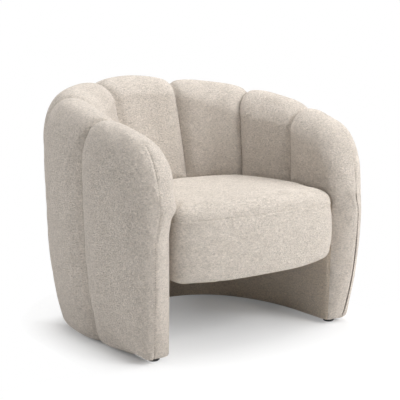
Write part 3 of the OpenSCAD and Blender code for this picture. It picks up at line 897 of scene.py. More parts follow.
    def swollen(self, station: np.ndarray, v: np.ndarray, rise: np.ndarray) -> np.ndarray:
        """Points of the skin moved out by a rise, rounded under at the foot.

        Args:
            station: Signed stations.
            v: Places over the section. Past 2, or below 0, the skin runs in under the wall.
            rise: How far each point stands out.

        Returns:
            The points.
        """
        held = np.clip(v, 0, 2)
        points = self.skin(station, held)
        out = self.normal(station, held)
        level = out * np.array([1.0, 1.0, 0.0])
        level = level / np.maximum(np.linalg.norm(level, axis=-1, keepdims=True), 1e-9)
        low = _unit((self.foot_height + self.foot_fade - points[..., 2]) / self.foot_fade)[..., None]
        points = points + (out * (1 - low) + level * low) * rise[..., None]
        side = np.where(v > 1, self.foot_round_outer, self.foot_round_inner)
        radius = side + (self.foot_round_nose - side) * _smooth(self.ahead(np.abs(station), self.foot_turn))
        drop = np.clip(self.foot_height + radius - points[..., 2], 0, radius)
        inset = radius - np.sqrt(np.clip(radius ** 2 - drop ** 2, 0, None))
        under = np.where(v > 2, v - 2, np.where(v < 0, -v, 0.0))
        way = self.spine(station) - points
        way[..., 2] = 0
        away = np.maximum(np.linalg.norm(way, axis=-1, keepdims=True), 1e-9)
        points = points + way / away * np.minimum((inset + under)[..., None], self.foot_reach * away)
        points[..., 2] = np.maximum(points[..., 2], self.foot_height) + self.foot_climb * under
        return points


# ---- cloth over its filling


@dataclass(frozen=True)
class ClothFilling:
    """Cloth simulation that lets a sewn cover bulge over its filling and pucker at its seams."""

    pressure: float
    frames: int
    cap: float
    slack: float
    stiffness: float = 12.0
    bending: float = 0.8
    mass: float = 0.3
    damping: float = 2.0
    quality: int = 4

    def places(self, mesh: bpy.types.Mesh) -> np.ndarray:
        """Reads where a mesh's points are.

        Args:
            mesh: The mesh.

        Returns:
            The points, one to a row.
        """
        found = np.empty(len(mesh.vertices) * 3)
        mesh.vertices.foreach_get("co", found)
        return found.reshape(-1, 3)

    def rim(self, piece: bpy.types.Object) -> list[int]:
        """Lists the points on a sheet's open edges.

        Args:
            piece: The sheet.

        Returns:
            The points' numbers.
        """
        bm = bmesh.new()
        bm.from_mesh(piece.data)
        found = [vert.index for vert in bm.verts if vert.is_boundary]
        bm.free()
        return found

    def settle(self, piece: bpy.types.Object, sewn: list[int]) -> None:
        """Runs the simulation and keeps its result in the mesh.

        Args:
            piece: The cover.
            sewn: Its points that are sewn or stapled down, which stay where they are.
        """
        rest = self.places(piece.data)
        held = piece.vertex_groups.new(name="sewn")
        held.add(sewn, 1.0, "REPLACE")
        cloth = piece.modifiers.new("filling", "CLOTH")
        setup = cloth.settings
        setup.quality = self.quality
        setup.mass = self.mass
        setup.air_damping = self.damping
        setup.vertex_group_mass = held.name
        setup.tension_stiffness = setup.compression_stiffness = setup.shear_stiffness = self.stiffness
        setup.bending_stiffness = self.bending
        setup.use_pressure = True
        setup.uniform_pressure_force = self.pressure
        setup.shrink_min = -self.slack
        setup.effector_weights.gravity = 0.0
        cloth.collision_settings.use_collision = False
        cloth.point_cache.frame_start, cloth.point_cache.frame_end = 1, self.frames
        for step in range(1, self.frames + 1):
            bpy.context.scene.frame_set(step)
        graph = bpy.context.evaluated_depsgraph_get()
        shift = self.places(piece.evaluated_get(graph).data) - rest
        piece.modifiers.remove(cloth)
        piece.vertex_groups.remove(held)
        bpy.context.scene.frame_set(1)
        size = np.linalg.norm(shift, axis=1, keepdims=True)
        shift = shift * self.cap * np.tanh(size / self.cap) / np.maximum(size, 1e-9)
        piece.data.vertices.foreach_set("co", (rest + shift).ravel())
        piece.data.update()
        moved = 1000 * np.linalg.norm(shift, axis=1)
        log.info("%s filled: %.1f mm on average, %.1f mm at most", piece.name, moved.mean(), moved.max())


# ---- padded covers of the wall


@dataclass
class PaddedCover:
    """One padded panel of the wall between two seams, over the crown."""

    wall: BarrelWall
    name: str
    node: str
    first: int
    last: int
    lining_top: float
    padding: float = 0.012
    fuller: float = 0.0075
    fuller_at: float = 0.022
    fuller_reach: float = 0.021
    fill: float = 0.85
    rim: float = 0.4
    hem: float = 0.016
    hem_sunk: float = 0.003
    face_at: float = 1.5
    sheet: bpy.types.Object | None = None

    def seam_run(self, number: int) -> float:
        """Signed station of a seam on the crown."""
        return self.wall.seam(number, np.array([1.0]))[0]

    def rows(self) -> np.ndarray:
        """Places over the section, fine at the crown and the foot.

        Returns:
            The places, in order.
        """
        start = self.wall.place_for(abs(self.wall.seams[max(abs(self.first), 1) - 1]), self.lining_top)
        inner = start + (1 - start) * np.concatenate(
            [[0, 0.012, 0.028, 0.05], np.linspace(0.08, 0.62, 16), np.linspace(0.65, 1.0, 18)])
        outer = 1 + np.concatenate([np.linspace(0.02, 0.4, 20), np.linspace(0.43, 0.93, 24)])
        return np.concatenate([inner, outer, 2 - self.foot_places()[::-1], [2.008, 2.020]])

    def foot_places(self) -> np.ndarray:
        """Places that round the foot evenly, from the floor side up.

        Returns:
            The places, in order.
        """
        turns = np.linspace(0, 1, 9) * math.pi / 2
        rise = self.wall.foot_round_outer * (1 - np.cos(turns))
        return np.array([self.wall.place_for(abs(self.seam_run(self.first)), self.wall.foot_height + z)
                         for z in rise])

    def across(self) -> np.ndarray:
        """Places from one seam to the other, fine at both."""
        return _graded(abs(self.seam_run(self.last) - self.seam_run(self.first)) * 1.3)

    def stations(self, share: np.ndarray, v: np.ndarray) -> np.ndarray:
        """Signed stations at each share across and place over the section."""
        low, high = self.wall.seam(self.first, v), self.wall.seam(self.last, v)
        return low + (high - low) * share

    def rise(self, share: np.ndarray, v: np.ndarray, station: np.ndarray) -> np.ndarray:
        """How far the panel stands out: full between its seams, drawn in along them.

        Args:
            share: Shares across the panel.
            v: Places over the section.
            station: Signed stations.

        Returns:
            How far each point stands out.
        """
        wall = self.wall
        puff = wall.pillow(wall.fullness(np.abs(station), v), 1 - np.abs(2 * share - 1))
        low, high = wall.seam(self.first, v), wall.seam(self.last, v)
        gap = np.minimum(np.abs(station - low), np.abs(high - station))
        return puff - wall.crease * _hump(gap, wall.crease_width)

    def bulge(self, above: np.ndarray) -> np.ndarray:
        """Extra fullness of the inner side just above the lining."""
        return self.fuller * _hump(above - self.fuller_at, self.fuller_reach)

    def edge(self, share: np.ndarray, v: np.ndarray, station: np.ndarray, rise: np.ndarray) -> np.ndarray:
        """Draws the panel's lower inner edge in where it meets the lining.

        Args:
            share: Shares across the panel; not used.
            v: Places over the section.
            station: Signed stations.
            rise: How far the panel stands out before.

        Returns:
            How far each point stands out.
        """
        z = self.wall.height(np.abs(station), np.clip(v, 0, 2))
        above = np.clip(z - self.lining_top, 0, None)
        drawn = _unit(1 - above / self.hem) ** 2
        fuller = self.bulge(above) * _unit(np.abs(station) / self.wall.length) ** 4
        return np.where(v < 1, (rise + fuller) * (1 - drawn) - self.hem_sunk * drawn, rise)

    def grooves(self, share: np.ndarray, v: np.ndarray, station: np.ndarray) -> np.ndarray:
        """Depth of sewn seams on the panel's face: here none."""
        return np.zeros_like(share)

    def points(self) -> np.ndarray:
        """The grid of the panel's face.

        Returns:
            The grid's points.
        """
        share, v = np.meshgrid(self.across(), self.rows(), indexing="ij")
        station = self.stations(share, v)
        rise = self.edge(share, v, station, self.rise(share, v, station)) - self.grooves(share, v, station)
        return self.wall.swollen(station, v, rise)

    def kept(self) -> np.ndarray | None:
        """The grid's cells that belong to the panel: all of them."""
        return None

    def depth(self) -> np.ndarray | None:
        """Share of the padding behind each point: full everywhere."""
        return None

    def build(self) -> None:
        """Builds the panel's face as a sheet that faces outwards."""
        self.sheet = _grid_piece(self.name, self.points(), self.kept(), self.depth())
        middle = np.array([0.5 * (self.seam_run(self.first) + self.seam_run(self.last))])
        at = np.array([self.face_at])
        out, near = self.wall.normal(middle, at)[0], self.wall.skin(middle, at)[0]
        _face_outwards(self.sheet, Vector(out), Vector(near))

    def finish(self, material: bpy.types.Material) -> None:
        """Gives the sheet its padding, finish and place in the frame."""
        _thicken(self.sheet, self.padding, self.rim)
        _declare(self.sheet, material, self.node)


@dataclass
class ArmCover(PaddedCover):
    """The panel over an arm: inside up to the gusset seam, outside round to the seam on the nose."""

    rim: float = 1.0
    gusset: float = 0.052
    gusset_turn: float = 0.012
    gusset_fade: float = 0.35
    seam_depth: float = 0.0030
    seam_width: float = 0.0028
    upper_depth: float = 0.4
    seam_low: float = 0.04
    seam_fade: float = 0.06
    gusset_depth: float = 0.25
    thin_reach: float = 0.070
    thinnest: float = 0.12
    stitched_to: float = 1.985

    @property
    def span(self) -> float:
        """Length along the wall from the panel's seam to the nose."""
        return self.wall.length - self.wall.seams[2]

    @property
    def gusset_at(self) -> float:
        """Share across at which the gusset seam lies."""
        return 1 - self.gusset / self.span

    def across(self) -> np.ndarray:
        """Places from the seam to the nose, with a column on the gusset seam and fine steps at the nose.

        Returns:
            The shares, in order.
        """
        plain = self.span - self.gusset
        nose = 1 - self.gusset / self.span * (1 - np.sin(np.linspace(0, 1, 13)[1:] * math.pi / 2))
        return np.concatenate([_graded(plain * 1.05) * plain / self.span, nose])

    def stations(self, share: np.ndarray, v: np.ndarray) -> np.ndarray:
        """Signed stations, with the gusset seam moved back towards the crown.

        Args:
            share: Shares across the panel.
            v: Places over the section.

        Returns:
            The stations.
        """
        wall, sign = self.wall, float(np.sign(self.last))
        low, at = np.abs(wall.seam(int(3 * sign), v)), self.gusset_at
        run = np.full_like(v, wall.length - self.gusset)
        lift = np.where(v < 1, 1 - wall.down(run, wall.height(run, np.clip(v, 0, 2))), 1.0)
        fade = np.where(v < 1, 1.0, _unit(1 - (v - 1) / self.gusset_fade) ** 2)
        turn = self.gusset_turn * (1 - 2 * lift) * fade
        weight = np.where(share < at, share / at, (1 - share) / (1 - at))
        return sign * (low + (wall.length - low) * share + turn * _unit(weight) ** 1.5)

    def rise(self, share: np.ndarray, v: np.ndarray, station: np.ndarray) -> np.ndarray:
        """Stands out past its seam and stays full round the nose.

        Args:
            share: Shares across the panel; not used.
            v: Places over the section.
            station: Signed stations.

        Returns:
            How far each point stands out.
        """
        wall, run = self.wall, np.abs(station)
        first = np.abs(wall.seam(3, v))
        half = 0.5 * (wall.seams[2] - wall.seams[1])
        puff = wall.pillow(wall.fullness(run, v), _unit((run - first) / half))
        return puff - wall.crease * _hump(run - first, wall.crease_width)

    def depth(self) -> np.ndarray:
        """Share of the padding behind each point, thin towards the nose.

        Returns:
            The share at each point.
        """
        share, v = np.meshgrid(self.across(), self.rows(), indexing="ij")
        away = (self.wall.length - np.abs(self.stations(share, v))) / self.thin_reach
        return np.clip(away, self.thinnest, 1)

    def grooves(self, share: np.ndarray, v: np.ndarray, station: np.ndarray) -> np.ndarray:
        """Depth of the sewn seams round the facing.

        Args:
            share: Shares across the panel.
            v: Places over the section.
            station: Signed stations.

        Returns:
            The depth at each point.
        """
        run = np.abs(station)
        inner = np.where(v <= 1, _hump((share - self.gusset_at) * self.span, self.seam_width), 0)
        ridge = np.where(share >= self.gusset_at - 1e-6, _hump(self.to_ridge(run, v), self.seam_width), 0)
        z = self.wall.height(run, np.clip(v, 0, 2))
        low = _unit((self.lining_top + self.seam_low - z) / self.seam_fade)
        ridge = ridge * (self.upper_depth + (1 - self.upper_depth) * low)
        return self.seam_depth * np.maximum(self.gusset_depth * inner, ridge)

    def to_ridge(self, run: np.ndarray, v: np.ndarray) -> np.ndarray:
        """Distance from the seam that runs down the nose.

        Args:
            run: Stations without their sign.
            v: Places over the section.

        Returns:
            The distances.
        """
        wall, held, end = self.wall, np.clip(v, 0, 2), np.full_like(run, self.wall.length)
        here = wall.skin(run, held)
        tip_z = wall.top(end)
        tip = wall.skin(end, np.where(held < 1, wall.places_for(tip_z, here[..., 2]), 1.0))
        over = np.linalg.norm(here - wall.skin(np.minimum(run, wall.length), np.ones_like(held)), axis=-1)
        ahead = np.linalg.norm(here[..., :2] - tip[..., :2], axis=-1)
        return np.where(here[..., 2] > tip_z, over, np.minimum(ahead, over))

    def ridge(self) -> np.ndarray:
        """The line of the sewn seam: forwards along the crown, then down the nose.

        Returns:
            The points along it.
        """
        rows = self.rows()
        over = int(np.argmin(np.abs(rows - 1)))
        points = self.points()
        along = points[self.across() >= self.gusset_at - 1e-6, over]
        down = points[-1, over:][rows[over:] <= self.stitched_to]
        return np.concatenate([along, down[1:]])

    def kept(self) -> np.ndarray | None:
        """The panel's cells: all but the facing's.

        Returns:
            True where a cell is kept.
        """
        share, rows = self.across(), self.rows()
        facing = np.outer(share[:-1] >= self.gusset_at - 1e-6, rows[1:] <= 1 + 1e-6)
        return ~facing


@dataclass
class ArmFacing(ArmCover):
    """The strip on an arm's front between the gusset seam and the seam down the nose."""

    flat: float = 0.0004
    fold_depth: float = 0.002
    fold_width: float = 0.004
    fold_rise: float = 0.014
    fuller_fade: float = 2.5
    face_at: float = 0.6

    def kept(self) -> np.ndarray | None:
        """The grid's cells that belong to the strip: all of them."""
        return None

    def rows(self) -> np.ndarray:
        """Places from the foot to the ridge, with a fold where the upper panel ends.

        Returns:
            The places, in order.
        """
        fold = self.wall.place_for(self.wall.length - self.gusset, self.lining_top)
        foot = self.foot_places()
        below = np.linspace(foot[-1], 0.94 * fold, 24)[1:]
        upper = fold + (1 - fold) * np.concatenate(
            [[0, 0.02, 0.045, 0.08], np.linspace(0.12, 0.62, 14), np.linspace(0.65, 1.0, 18)])
        return np.concatenate([[-0.020, -0.008], foot, below, fold * np.array([0.97, 0.985]), upper])

    def across(self) -> np.ndarray:
        """Places from the gusset seam to the nose."""
        share = super().across()
        return share[share >= self.gusset_at - 1e-6]

    def edge(self, share: np.ndarray, v: np.ndarray, station: np.ndarray, rise: np.ndarray) -> np.ndarray:
        """Stands out above the fold and lies plain below it, except at the nose.

        Args:
            share: Shares across the panel.
            v: Places over the section.
            station: Signed stations.
            rise: How far the panel stands out before.

        Returns:
            How far each point stands out.
        """
        z = self.wall.height(np.abs(station), np.clip(v, 0, 2))
        above = z - self.lining_top
        plain = self.flat + (rise - self.flat) * _unit((share - share.min()) / (1 - share.min())) ** 2
        upper = _unit(above / self.fold_rise) ** 0.5
        fuller = self.bulge(above) * _unit((1 - share) / (1 - share.min()) * self.fuller_fade)
        folded = plain - self.fold_depth * _hump(above, self.fold_width)
        return np.where(above > 0, plain + (rise - plain) * upper + fuller, folded)


@dataclass(frozen=True)
class NoseStitches:
    """Short loops of dark thread along the seam down an arm's nose; the thread is real, and its darkness
    also paints the shade in the stitch holes.
    """

    pitch: float = 0.0064
    length: float = 0.0036
    radius: float = 0.0007

    def build(self, name: str, path: np.ndarray, material: bpy.types.Material) -> None:
        """Lays one loop after the other along the seam.

        Args:
            name: The object's name.
            path: Points along the seam.
            material: The thread's finish.
        """
        at = np.concatenate([[0], np.cumsum(np.linalg.norm(np.diff(path, axis=0), axis=1))])
        size = Matrix.Diagonal((self.radius, self.radius, self.length / 2, 1.0))
        bm = bmesh.new()
        for middle in np.arange(self.pitch, at[-1] - self.length, self.pitch):
            runs = middle + np.array([-0.5, 0.0, 0.5]) * self.length
            start, place, end = map(Vector, zip(*(np.interp(runs, at, path[:, k]) for k in range(3))))
            turn = (end - start).to_track_quat("Z", "Y").to_matrix().to_4x4()
            bmesh.ops.create_icosphere(bm, subdivisions=1, radius=1.0,
                                       matrix=Matrix.Translation(place) @ turn @ size)
        made = _to_object(name, bm)
        made.data.materials.append(material)
        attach(made, "root")
        log.info("%s: %d faces", name, len(made.data.polygons))


@dataclass
class InnerLining:
    """Plain cloth on the inner wall below the seat's top."""

    wall: BarrelWall
    lining_top: float
    gusset: float = 0.052
    turn: float = 0.012
    tucked: float = 0.012
    overlap: float = 0.004
    ripple: float = 0.0006
    waves: float = 61.0
    end_sunk: float = 0.0016
    end_from: float = 0.020
    end_fade: float = 0.010
    thickness: float = 0.006
    fill: float = 0.9

    def build(self, material: bpy.types.Material) -> None:
        """Builds the lining with a rounded foot.

        Args:
            material: Its finish.
        """
        wall = self.wall
        reach = wall.length - self.gusset + self.turn + self.tucked
        rise = np.concatenate(
            [[0, 0.001, 0.003, 0.007, 0.013, 0.022, 0.034], np.linspace(0.05, 0.97, 40), [1.0]])
        station, up = np.meshgrid(np.linspace(-reach, reach, 181), rise, indexing="ij")
        z = wall.foot_height + (self.lining_top + self.overlap - wall.foot_height) * up
        v = wall.places_for(wall.top(np.abs(station)), z)
        stand = self.ripple * np.sin(station * self.waves + 3 * up) * np.sin(math.pi * up)
        stand = stand - self.end_sunk * _unit((np.abs(station) - reach + self.end_from) / self.end_fade)
        under = np.tile([-0.020, -0.008], (len(station), 1))
        v = np.concatenate([under, v], axis=1)
        station = np.concatenate([station[:, :2], station], axis=1)
        stand = np.concatenate([0 * under, stand], axis=1)
        made = _grid_piece("inner_lining", wall.swollen(station, v, stand))
        _face_outwards(made, Vector((0, -1, 0)), Vector((0, wall.back_y, 0.2)))
        _thicken(made, self.thickness, 1.0)
        _declare(made, material, "lower_lining")


@dataclass
class WallCovers:
    """All the padded covers of the wall, set to shape as cloth."""

    wall: BarrelWall
    lining_top: float = 0.3905
    filling: ClothFilling = ClothFilling(pressure=3.0, frames=14, cap=0.0025, slack=0.008)

    def panel(self, name: str, node: str, first: int, last: int) -> PaddedCover:
        """Describes the panel between two seams."""
        return PaddedCover(self.wall, name, node, first, last, self.lining_top)

    def arm(self, side: Side) -> list[PaddedCover]:
        """Describes an arm's cover and the strip on its front.

        Args:
            side: Which arm.

        Returns:
            Both panels.
        """
        hand, ends = side.name.lower(), (3 * side.value, 4 * side.value)
        return [ArmCover(self.wall, "arm_cover_" + hand, "channel_arm_" + hand, *ends, self.lining_top),
                ArmFacing(self.wall, "arm_strip_" + hand, "arm_facing_" + hand, *ends, self.lining_top)]

    def covers(self) -> list[PaddedCover]:
        """Lists the panels from one arm round to the other.

        Returns:
            The panels, none of them built yet.
        """
        return [
            *self.arm(Side.LEFT),
            self.panel("shoulder_cover_left", "channel_shoulder_left", -3, -2),
            self.panel("back_cover_left", "channel_back_left", -2, -1),
            self.panel("back_cover", "channel_back", -1, 1),
            self.panel("back_cover_right", "channel_back_right", 1, 2),
            self.panel("shoulder_cover_right", "channel_shoulder_right", 2, 3),
            *self.arm(Side.RIGHT),
        ]

    def build(self, material: bpy.types.Material, thread: bpy.types.Material) -> None:
        """Builds, fills and finishes every panel.

        Args:
            material: Their cloth.
            thread: The thread of the seams on the noses.
        """
        covers = self.covers()
        for cover in covers:
            cover.build()
        for cover in covers:
            self.filling.settle(cover.sheet, self.filling.rim(cover.sheet))
        for cover in covers:
            cover.finish(material)
            if type(cover) is ArmCover:
                NoseStitches().build(cover.name.replace("cover", "stitches"), cover.ridge(), thread)


# ---- the seat


@dataclass
class SeatDrum:
    """The seat: a crowned top sewn to a tall border, hung between the arms."""

    wall: BarrelWall
    gap: float = 0.003
    join_share: float = 0.6
    front_y: float = -0.4040
    bow: float = 0.024
    corner_power: float = 8.0
    seam_z: float = 0.3746
    under_z: float = 0.2035
    edge_top: float = 0.4145
    side_reach: float = 0.020
    front_reach: float = 0.062
    front_from: float = -0.235
    front_to: float = -0.350
    dip: float = 0.0330
    dip_from: float = 0.008
    dip_to: float = 0.118
    overhang: float = 0.0018
    crown: float = 0.0045
    under_round: float = 0.016
    under_round_corner: float = 0.036
    corner_from: float = 0.11
    corner_to: float = 0.25
    plump: float = 0.0045
    count: int = 220
    voxel: float = 0.0055
    border_padding: float = 0.010
    fill: float = 0.9
    lip: float = 0.003
    sewn: tuple[tuple[float, float], ...] = (
        (0.030, -0.011), (0.012, -0.011), (0.0040, -0.009), (0.0016, -0.004), (0.0017, 0.0),
        (0.0004, 0.003))
    inner_rings: tuple[float, ...] = (0.96, 0.90, 0.81, 0.70, 0.58, 0.46, 0.34, 0.22, 0.11)
    border_rows: tuple[tuple[float, float, float], ...] = (
        (0.0044, 0.0002, 0), (0.0015, -0.0002, 0), (-0.0002, -0.0012, 0), (-0.0008, -0.0030, 0),
        (0.0, -0.0052, 0), (0.0008, -0.0078, 0), (0.0010, -0.012, 0.05), (0.0006, -0.020, 0.35),
        (0.0, -0.034, 0.7), (-0.0006, -0.052, 0.95), (-0.0008, -0.072, 1), (-0.0008, -0.092, 0.95),
        (-0.0006, -0.112, 0.75), (-0.0003, -0.128, 0.5))
    sewn_above: float = 0.004
    sewn_below: float = 0.006
    filling: ClothFilling = ClothFilling(pressure=4.0, frames=16, cap=0.0030, slack=0.004)

    def outline(self) -> np.ndarray:
        """Even points round the drum, anticlockwise from above, starting behind.

        Returns:
            The points.
        """
        wall = self.wall
        join = wall.length - self.join_share * wall.arm_run
        run = np.linspace(0, join, 160)[:-1]
        x, y, out_x, out_y = wall.plan(run)
        side = np.stack([x - out_x * self.gap, y - out_y * self.gap], -1)
        jx, jy, jox, joy = (float(a[0]) for a in wall.plan(np.array([join])))
        start = (jx - jox * self.gap, jy - joy * self.gap)
        reach, power, splay = start[1] - self.front_y - self.bow, self.corner_power, joy / jox
        front = []
        for k in range(121):
            w = 2 * k / 120 - 1
            q = math.radians(45 + 45 * math.copysign(abs(w) ** 1.5, w))
            r = (math.cos(q) ** power + math.sin(q) ** power) ** (-1 / power)
            u = r * math.cos(q)
            bowed = self.bow * (1 - u * u) * min(1.0, r * math.sin(q))
            ahead = start[1] - reach * r * math.sin(q) - bowed
            front.append((u * (start[0] + (start[1] - ahead) * splay), ahead))
        half = np.concatenate([side, np.array(front)])
        ring = np.concatenate([half, half[-2:0:-1] * np.array([-1.0, 1.0])])
        closed = np.concatenate([ring, ring[:1]])
        length = np.concatenate([[0], np.cumsum(np.linalg.norm(np.diff(closed, axis=0), axis=1))])
        at = np.linspace(0, length[-1], self.count + 1)[:-1]
        return np.stack([np.interp(at, length, closed[:, k]) for k in (0, 1)], -1)[::-1]

    def inset(self, ring: np.ndarray, depth: float | np.ndarray) -> np.ndarray:
        """The outline moved inwards by a depth, which may differ from point to point.

        Args:
            ring: The outline's points.
            depth: The depth, or one for each point.

        Returns:
            The moved points.
        """
        ahead, behind = np.roll(ring, -1, axis=0), np.roll(ring, 1, axis=0)
        way = ahead - behind
        way = way / np.linalg.norm(way, axis=1, keepdims=True)
        inwards = np.stack([-way[:, 1], way[:, 0]], -1)
        middle = ring.mean(axis=0)
        if ((middle - ring) * inwards).sum() < 0:
            inwards = -inwards
        return ring + inwards * np.reshape(depth * np.ones(len(ring)), (-1, 1))

    def frontness(self, y: np.ndarray) -> np.ndarray:
        """How far a point of the edge belongs to the open front, from 0 at the sides to 1."""
        return _smooth(_unit((self.front_from - y) / (self.front_from - self.front_to)))

    def level(self, y: np.ndarray) -> np.ndarray:
        """Height of the top just inside its rolled edge: it falls a little towards the back."""
        back = _unit((y - self.dip_from) / (self.dip_to - self.dip_from))
        return self.edge_top - self.dip * back ** 2 * (3 - 2 * back)

    def loft(self, name: str, rings: list[tuple[np.ndarray, float | np.ndarray]],
             cap: bool) -> bpy.types.Object:
        """Lofts a band through level rings by extruding a circle of edges.

        Args:
            name: The object's name.
            rings: Each ring's points and its height, or heights.
            cap: Whether both ends are closed.

        Returns:
            The new object.
        """
        bm = bmesh.new()
        loop = _circle(bm, self.count, cap)
        _lay(loop, *rings[0])
        edges = [e for e in bm.edges if len(e.link_faces) < 2]
        for ring, z in rings[1:]:
            grown = bmesh.ops.extrude_edge_only(bm, edges=edges)["geom"]
            fresh = {g for g in grown if isinstance(g, bmesh.types.BMVert)}
            edges = [g for g in grown if isinstance(g, bmesh.types.BMEdge)]
            loop = [next(v for v in (e.other_vert(old) for e in old.link_edges) if v in fresh)
                    for old in loop]
            _lay(loop, ring, z)
        if cap:
            bmesh.ops.contextual_create(bm, geom=edges)
        bmesh.ops.recalc_face_normals(bm, faces=bm.faces)
        return _to_object(name, bm)

    def top(self, material: bpy.types.Material) -> None:
        """Builds the crowned top, rolled over at its edge and drawn in at its seam.

        Args:
            material: Its cloth.
        """
        ring = self.outline()
        middle = np.array([0.0, (ring[:, 1].max() + ring[:, 1].min()) / 2])
        front = self.frontness(ring[:, 1])
        reach = self.side_reach + (self.front_reach - self.side_reach) * front
        top = self.level(ring[:, 1])
        rings = [(self.inset(ring, depth), self.seam_z + z) for depth, z in self.sewn]
        for turn in np.linspace(0.14, 1, 12) * math.pi / 2:
            depth = reach * (1 - math.cos(turn)) - self.overhang * front * math.sin(2 * turn)
            z = self.seam_z + self.lip + (top - self.seam_z - self.lip) * math.sin(turn)
            rings.append((self.inset(ring, depth), z))
        edge = rings[-1][0]
        for k in self.inner_rings:
            place = middle + (edge - middle) * k
            flat = self.level(place[:, 1]) * k ** 2 + self.edge_top * (1 - k ** 2)
            rings.append((place, flat + self.crown * (1 - k ** 2.2)))
        made = self.loft("seat_top", rings, cap=True)
        remesh = made.modifiers.new("even", "REMESH")
        remesh.mode = "VOXEL"
        remesh.voxel_size = self.voxel
        remesh.use_smooth_shade = True
        _bake(made)
        heights = self.filling.places(made.data)[:, 2]
        self.filling.settle(made, np.flatnonzero(heights < self.seam_z + self.lip).tolist())
        rounded = made.modifiers.new("rounding", "SUBSURF")
        rounded.levels = rounded.render_levels = 1
        _declare(made, material, "seat_cushion")

    def border(self, material: bpy.types.Material) -> None:
        """Builds the border with a lip under the top's seam and a rolled lower edge.

        Args:
            material: Its cloth.
        """
        ring = self.outline()
        low, roll = self.under_z, self.under_round
        front = self.frontness(ring[:, 1])
        turned = _unit((np.abs(ring[:, 0]) - self.corner_from) / (self.corner_to - self.corner_from))
        roll = roll + (self.under_round_corner - roll) * _smooth(turned)
        rows = [(depth, self.seam_z + z, share) for depth, z, share in self.border_rows]
        rows.append((0.0, low + roll + 0.008, 0.2))
        rings = [(self.inset(ring, depth - self.plump * share * front), z) for depth, z, share in rows]
        for turn in np.linspace(0.0, 1, 9)[1:] * math.pi / 2:
            rings.append((self.inset(ring, roll * (1 - math.cos(turn))), low + roll * (1 - math.sin(turn))))
        rings.append((self.inset(ring, roll + 0.010), low + 0.001))
        rings.append((self.inset(ring, roll + 0.026), low + 0.004))
        made = self.loft("seat_border_cover", rings, cap=False)
        _face_outwards(made, Vector((0, -1, 0)), Vector((0, self.front_y, 0.3)))
        heights = self.filling.places(made.data)[:, 2]
        sewn = (heights > self.seam_z - self.sewn_above) | (heights < low + self.sewn_below)
        self.filling.settle(made, np.flatnonzero(sewn).tolist())
        _thicken(made, self.border_padding)
        _declare(made, material, "seat_border")


# ---- dust covers


@dataclass
class DustCovers:
    """Black nonwoven sheets stapled under the seat's frame and under the base plate."""

    wall: BarrelWall
    drum: SeatDrum
    seat_inset: float = 0.0435
    seat_z: float = 0.2073
    seat_sag: float = 0.0021
    seat_steps: tuple[float, ...] = (0.008, 0.022, 0.050)
    base_steps: tuple[float, ...] = (0, 0.06, 0.2, 0.35, 0.5, 0.65, 0.8, 0.94, 1.0)
    base_inner: float = 0.0086
    base_margin: float = 0.0222
    base_reach: float = 0.630
    base_z: float = 0.0206
    base_sag: float = 0.0014
    thickness: float = 0.0006

    def seat(self, material: bpy.types.Material) -> None:
        """Makes the sheet under the seat: a stapled hem, and a field that hangs a little.

        Args:
            material: Its cloth.
        """
        ring = self.drum.inset(self.drum.outline(), self.seat_inset)
        bm = bmesh.new()
        _lay(_circle(bm, len(ring), True), ring, self.seat_z)
        bm.faces.ensure_lookup_table()
        middle = bm.faces[0]
        for depth in self.seat_steps:
            bmesh.ops.inset_region(bm, faces=[middle], thickness=depth, use_even_offset=True)
            for vert in middle.verts:
                vert.co.z -= self.seat_sag / len(self.seat_steps)
        made = _to_object("seat_dust_sheet", bm)
        self.finish(made, "seat_dust_cover", "seat_lower_ring", material)

    def base(self, material: bpy.types.Material) -> None:
        """Makes the C-shaped sheet under the base plate.

        Args:
            material: Its cloth.
        """
        along = np.linspace(-self.base_reach, self.base_reach, 161)
        station, share = np.meshgrid(along, np.array(self.base_steps), indexing="ij")
        x, y, out_x, out_y = self.wall.plan(station)
        run, low = np.abs(station), np.full_like(station, self.base_z)
        outer = self.wall.offset(run, low, np.zeros_like(run, bool)) - self.base_margin
        n = self.base_inner + (outer - self.base_inner) * share
        z = low - self.base_sag * _unit(4 * share * (1 - share) * 1.2 - 0.2)
        points = np.stack([x + out_x * n, y + out_y * n, z], -1)
        made = _grid_piece("base_dust_sheet", points)
        self.finish(made, "base_dust_cover", "base_plate", material)

    def finish(self, made: bpy.types.Object, node: str, carrier: str,
               material: bpy.types.Material) -> None:
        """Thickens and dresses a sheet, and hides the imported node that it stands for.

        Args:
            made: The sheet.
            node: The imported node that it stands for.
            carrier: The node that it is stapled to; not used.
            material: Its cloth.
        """
        _face_outwards(made, Vector((0, 0, -1)), Vector((0.3, -0.2, 0)))
        _thicken(made, self.thickness, 1.0, 0)
        made.data.materials.append(material)
        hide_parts(node)
        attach(made, "root")

    def build(self, material: bpy.types.Material) -> None:
        """Makes both sheets."""
        self.seat(material)
        self.base(material)


# ---- what stays from the CAD model


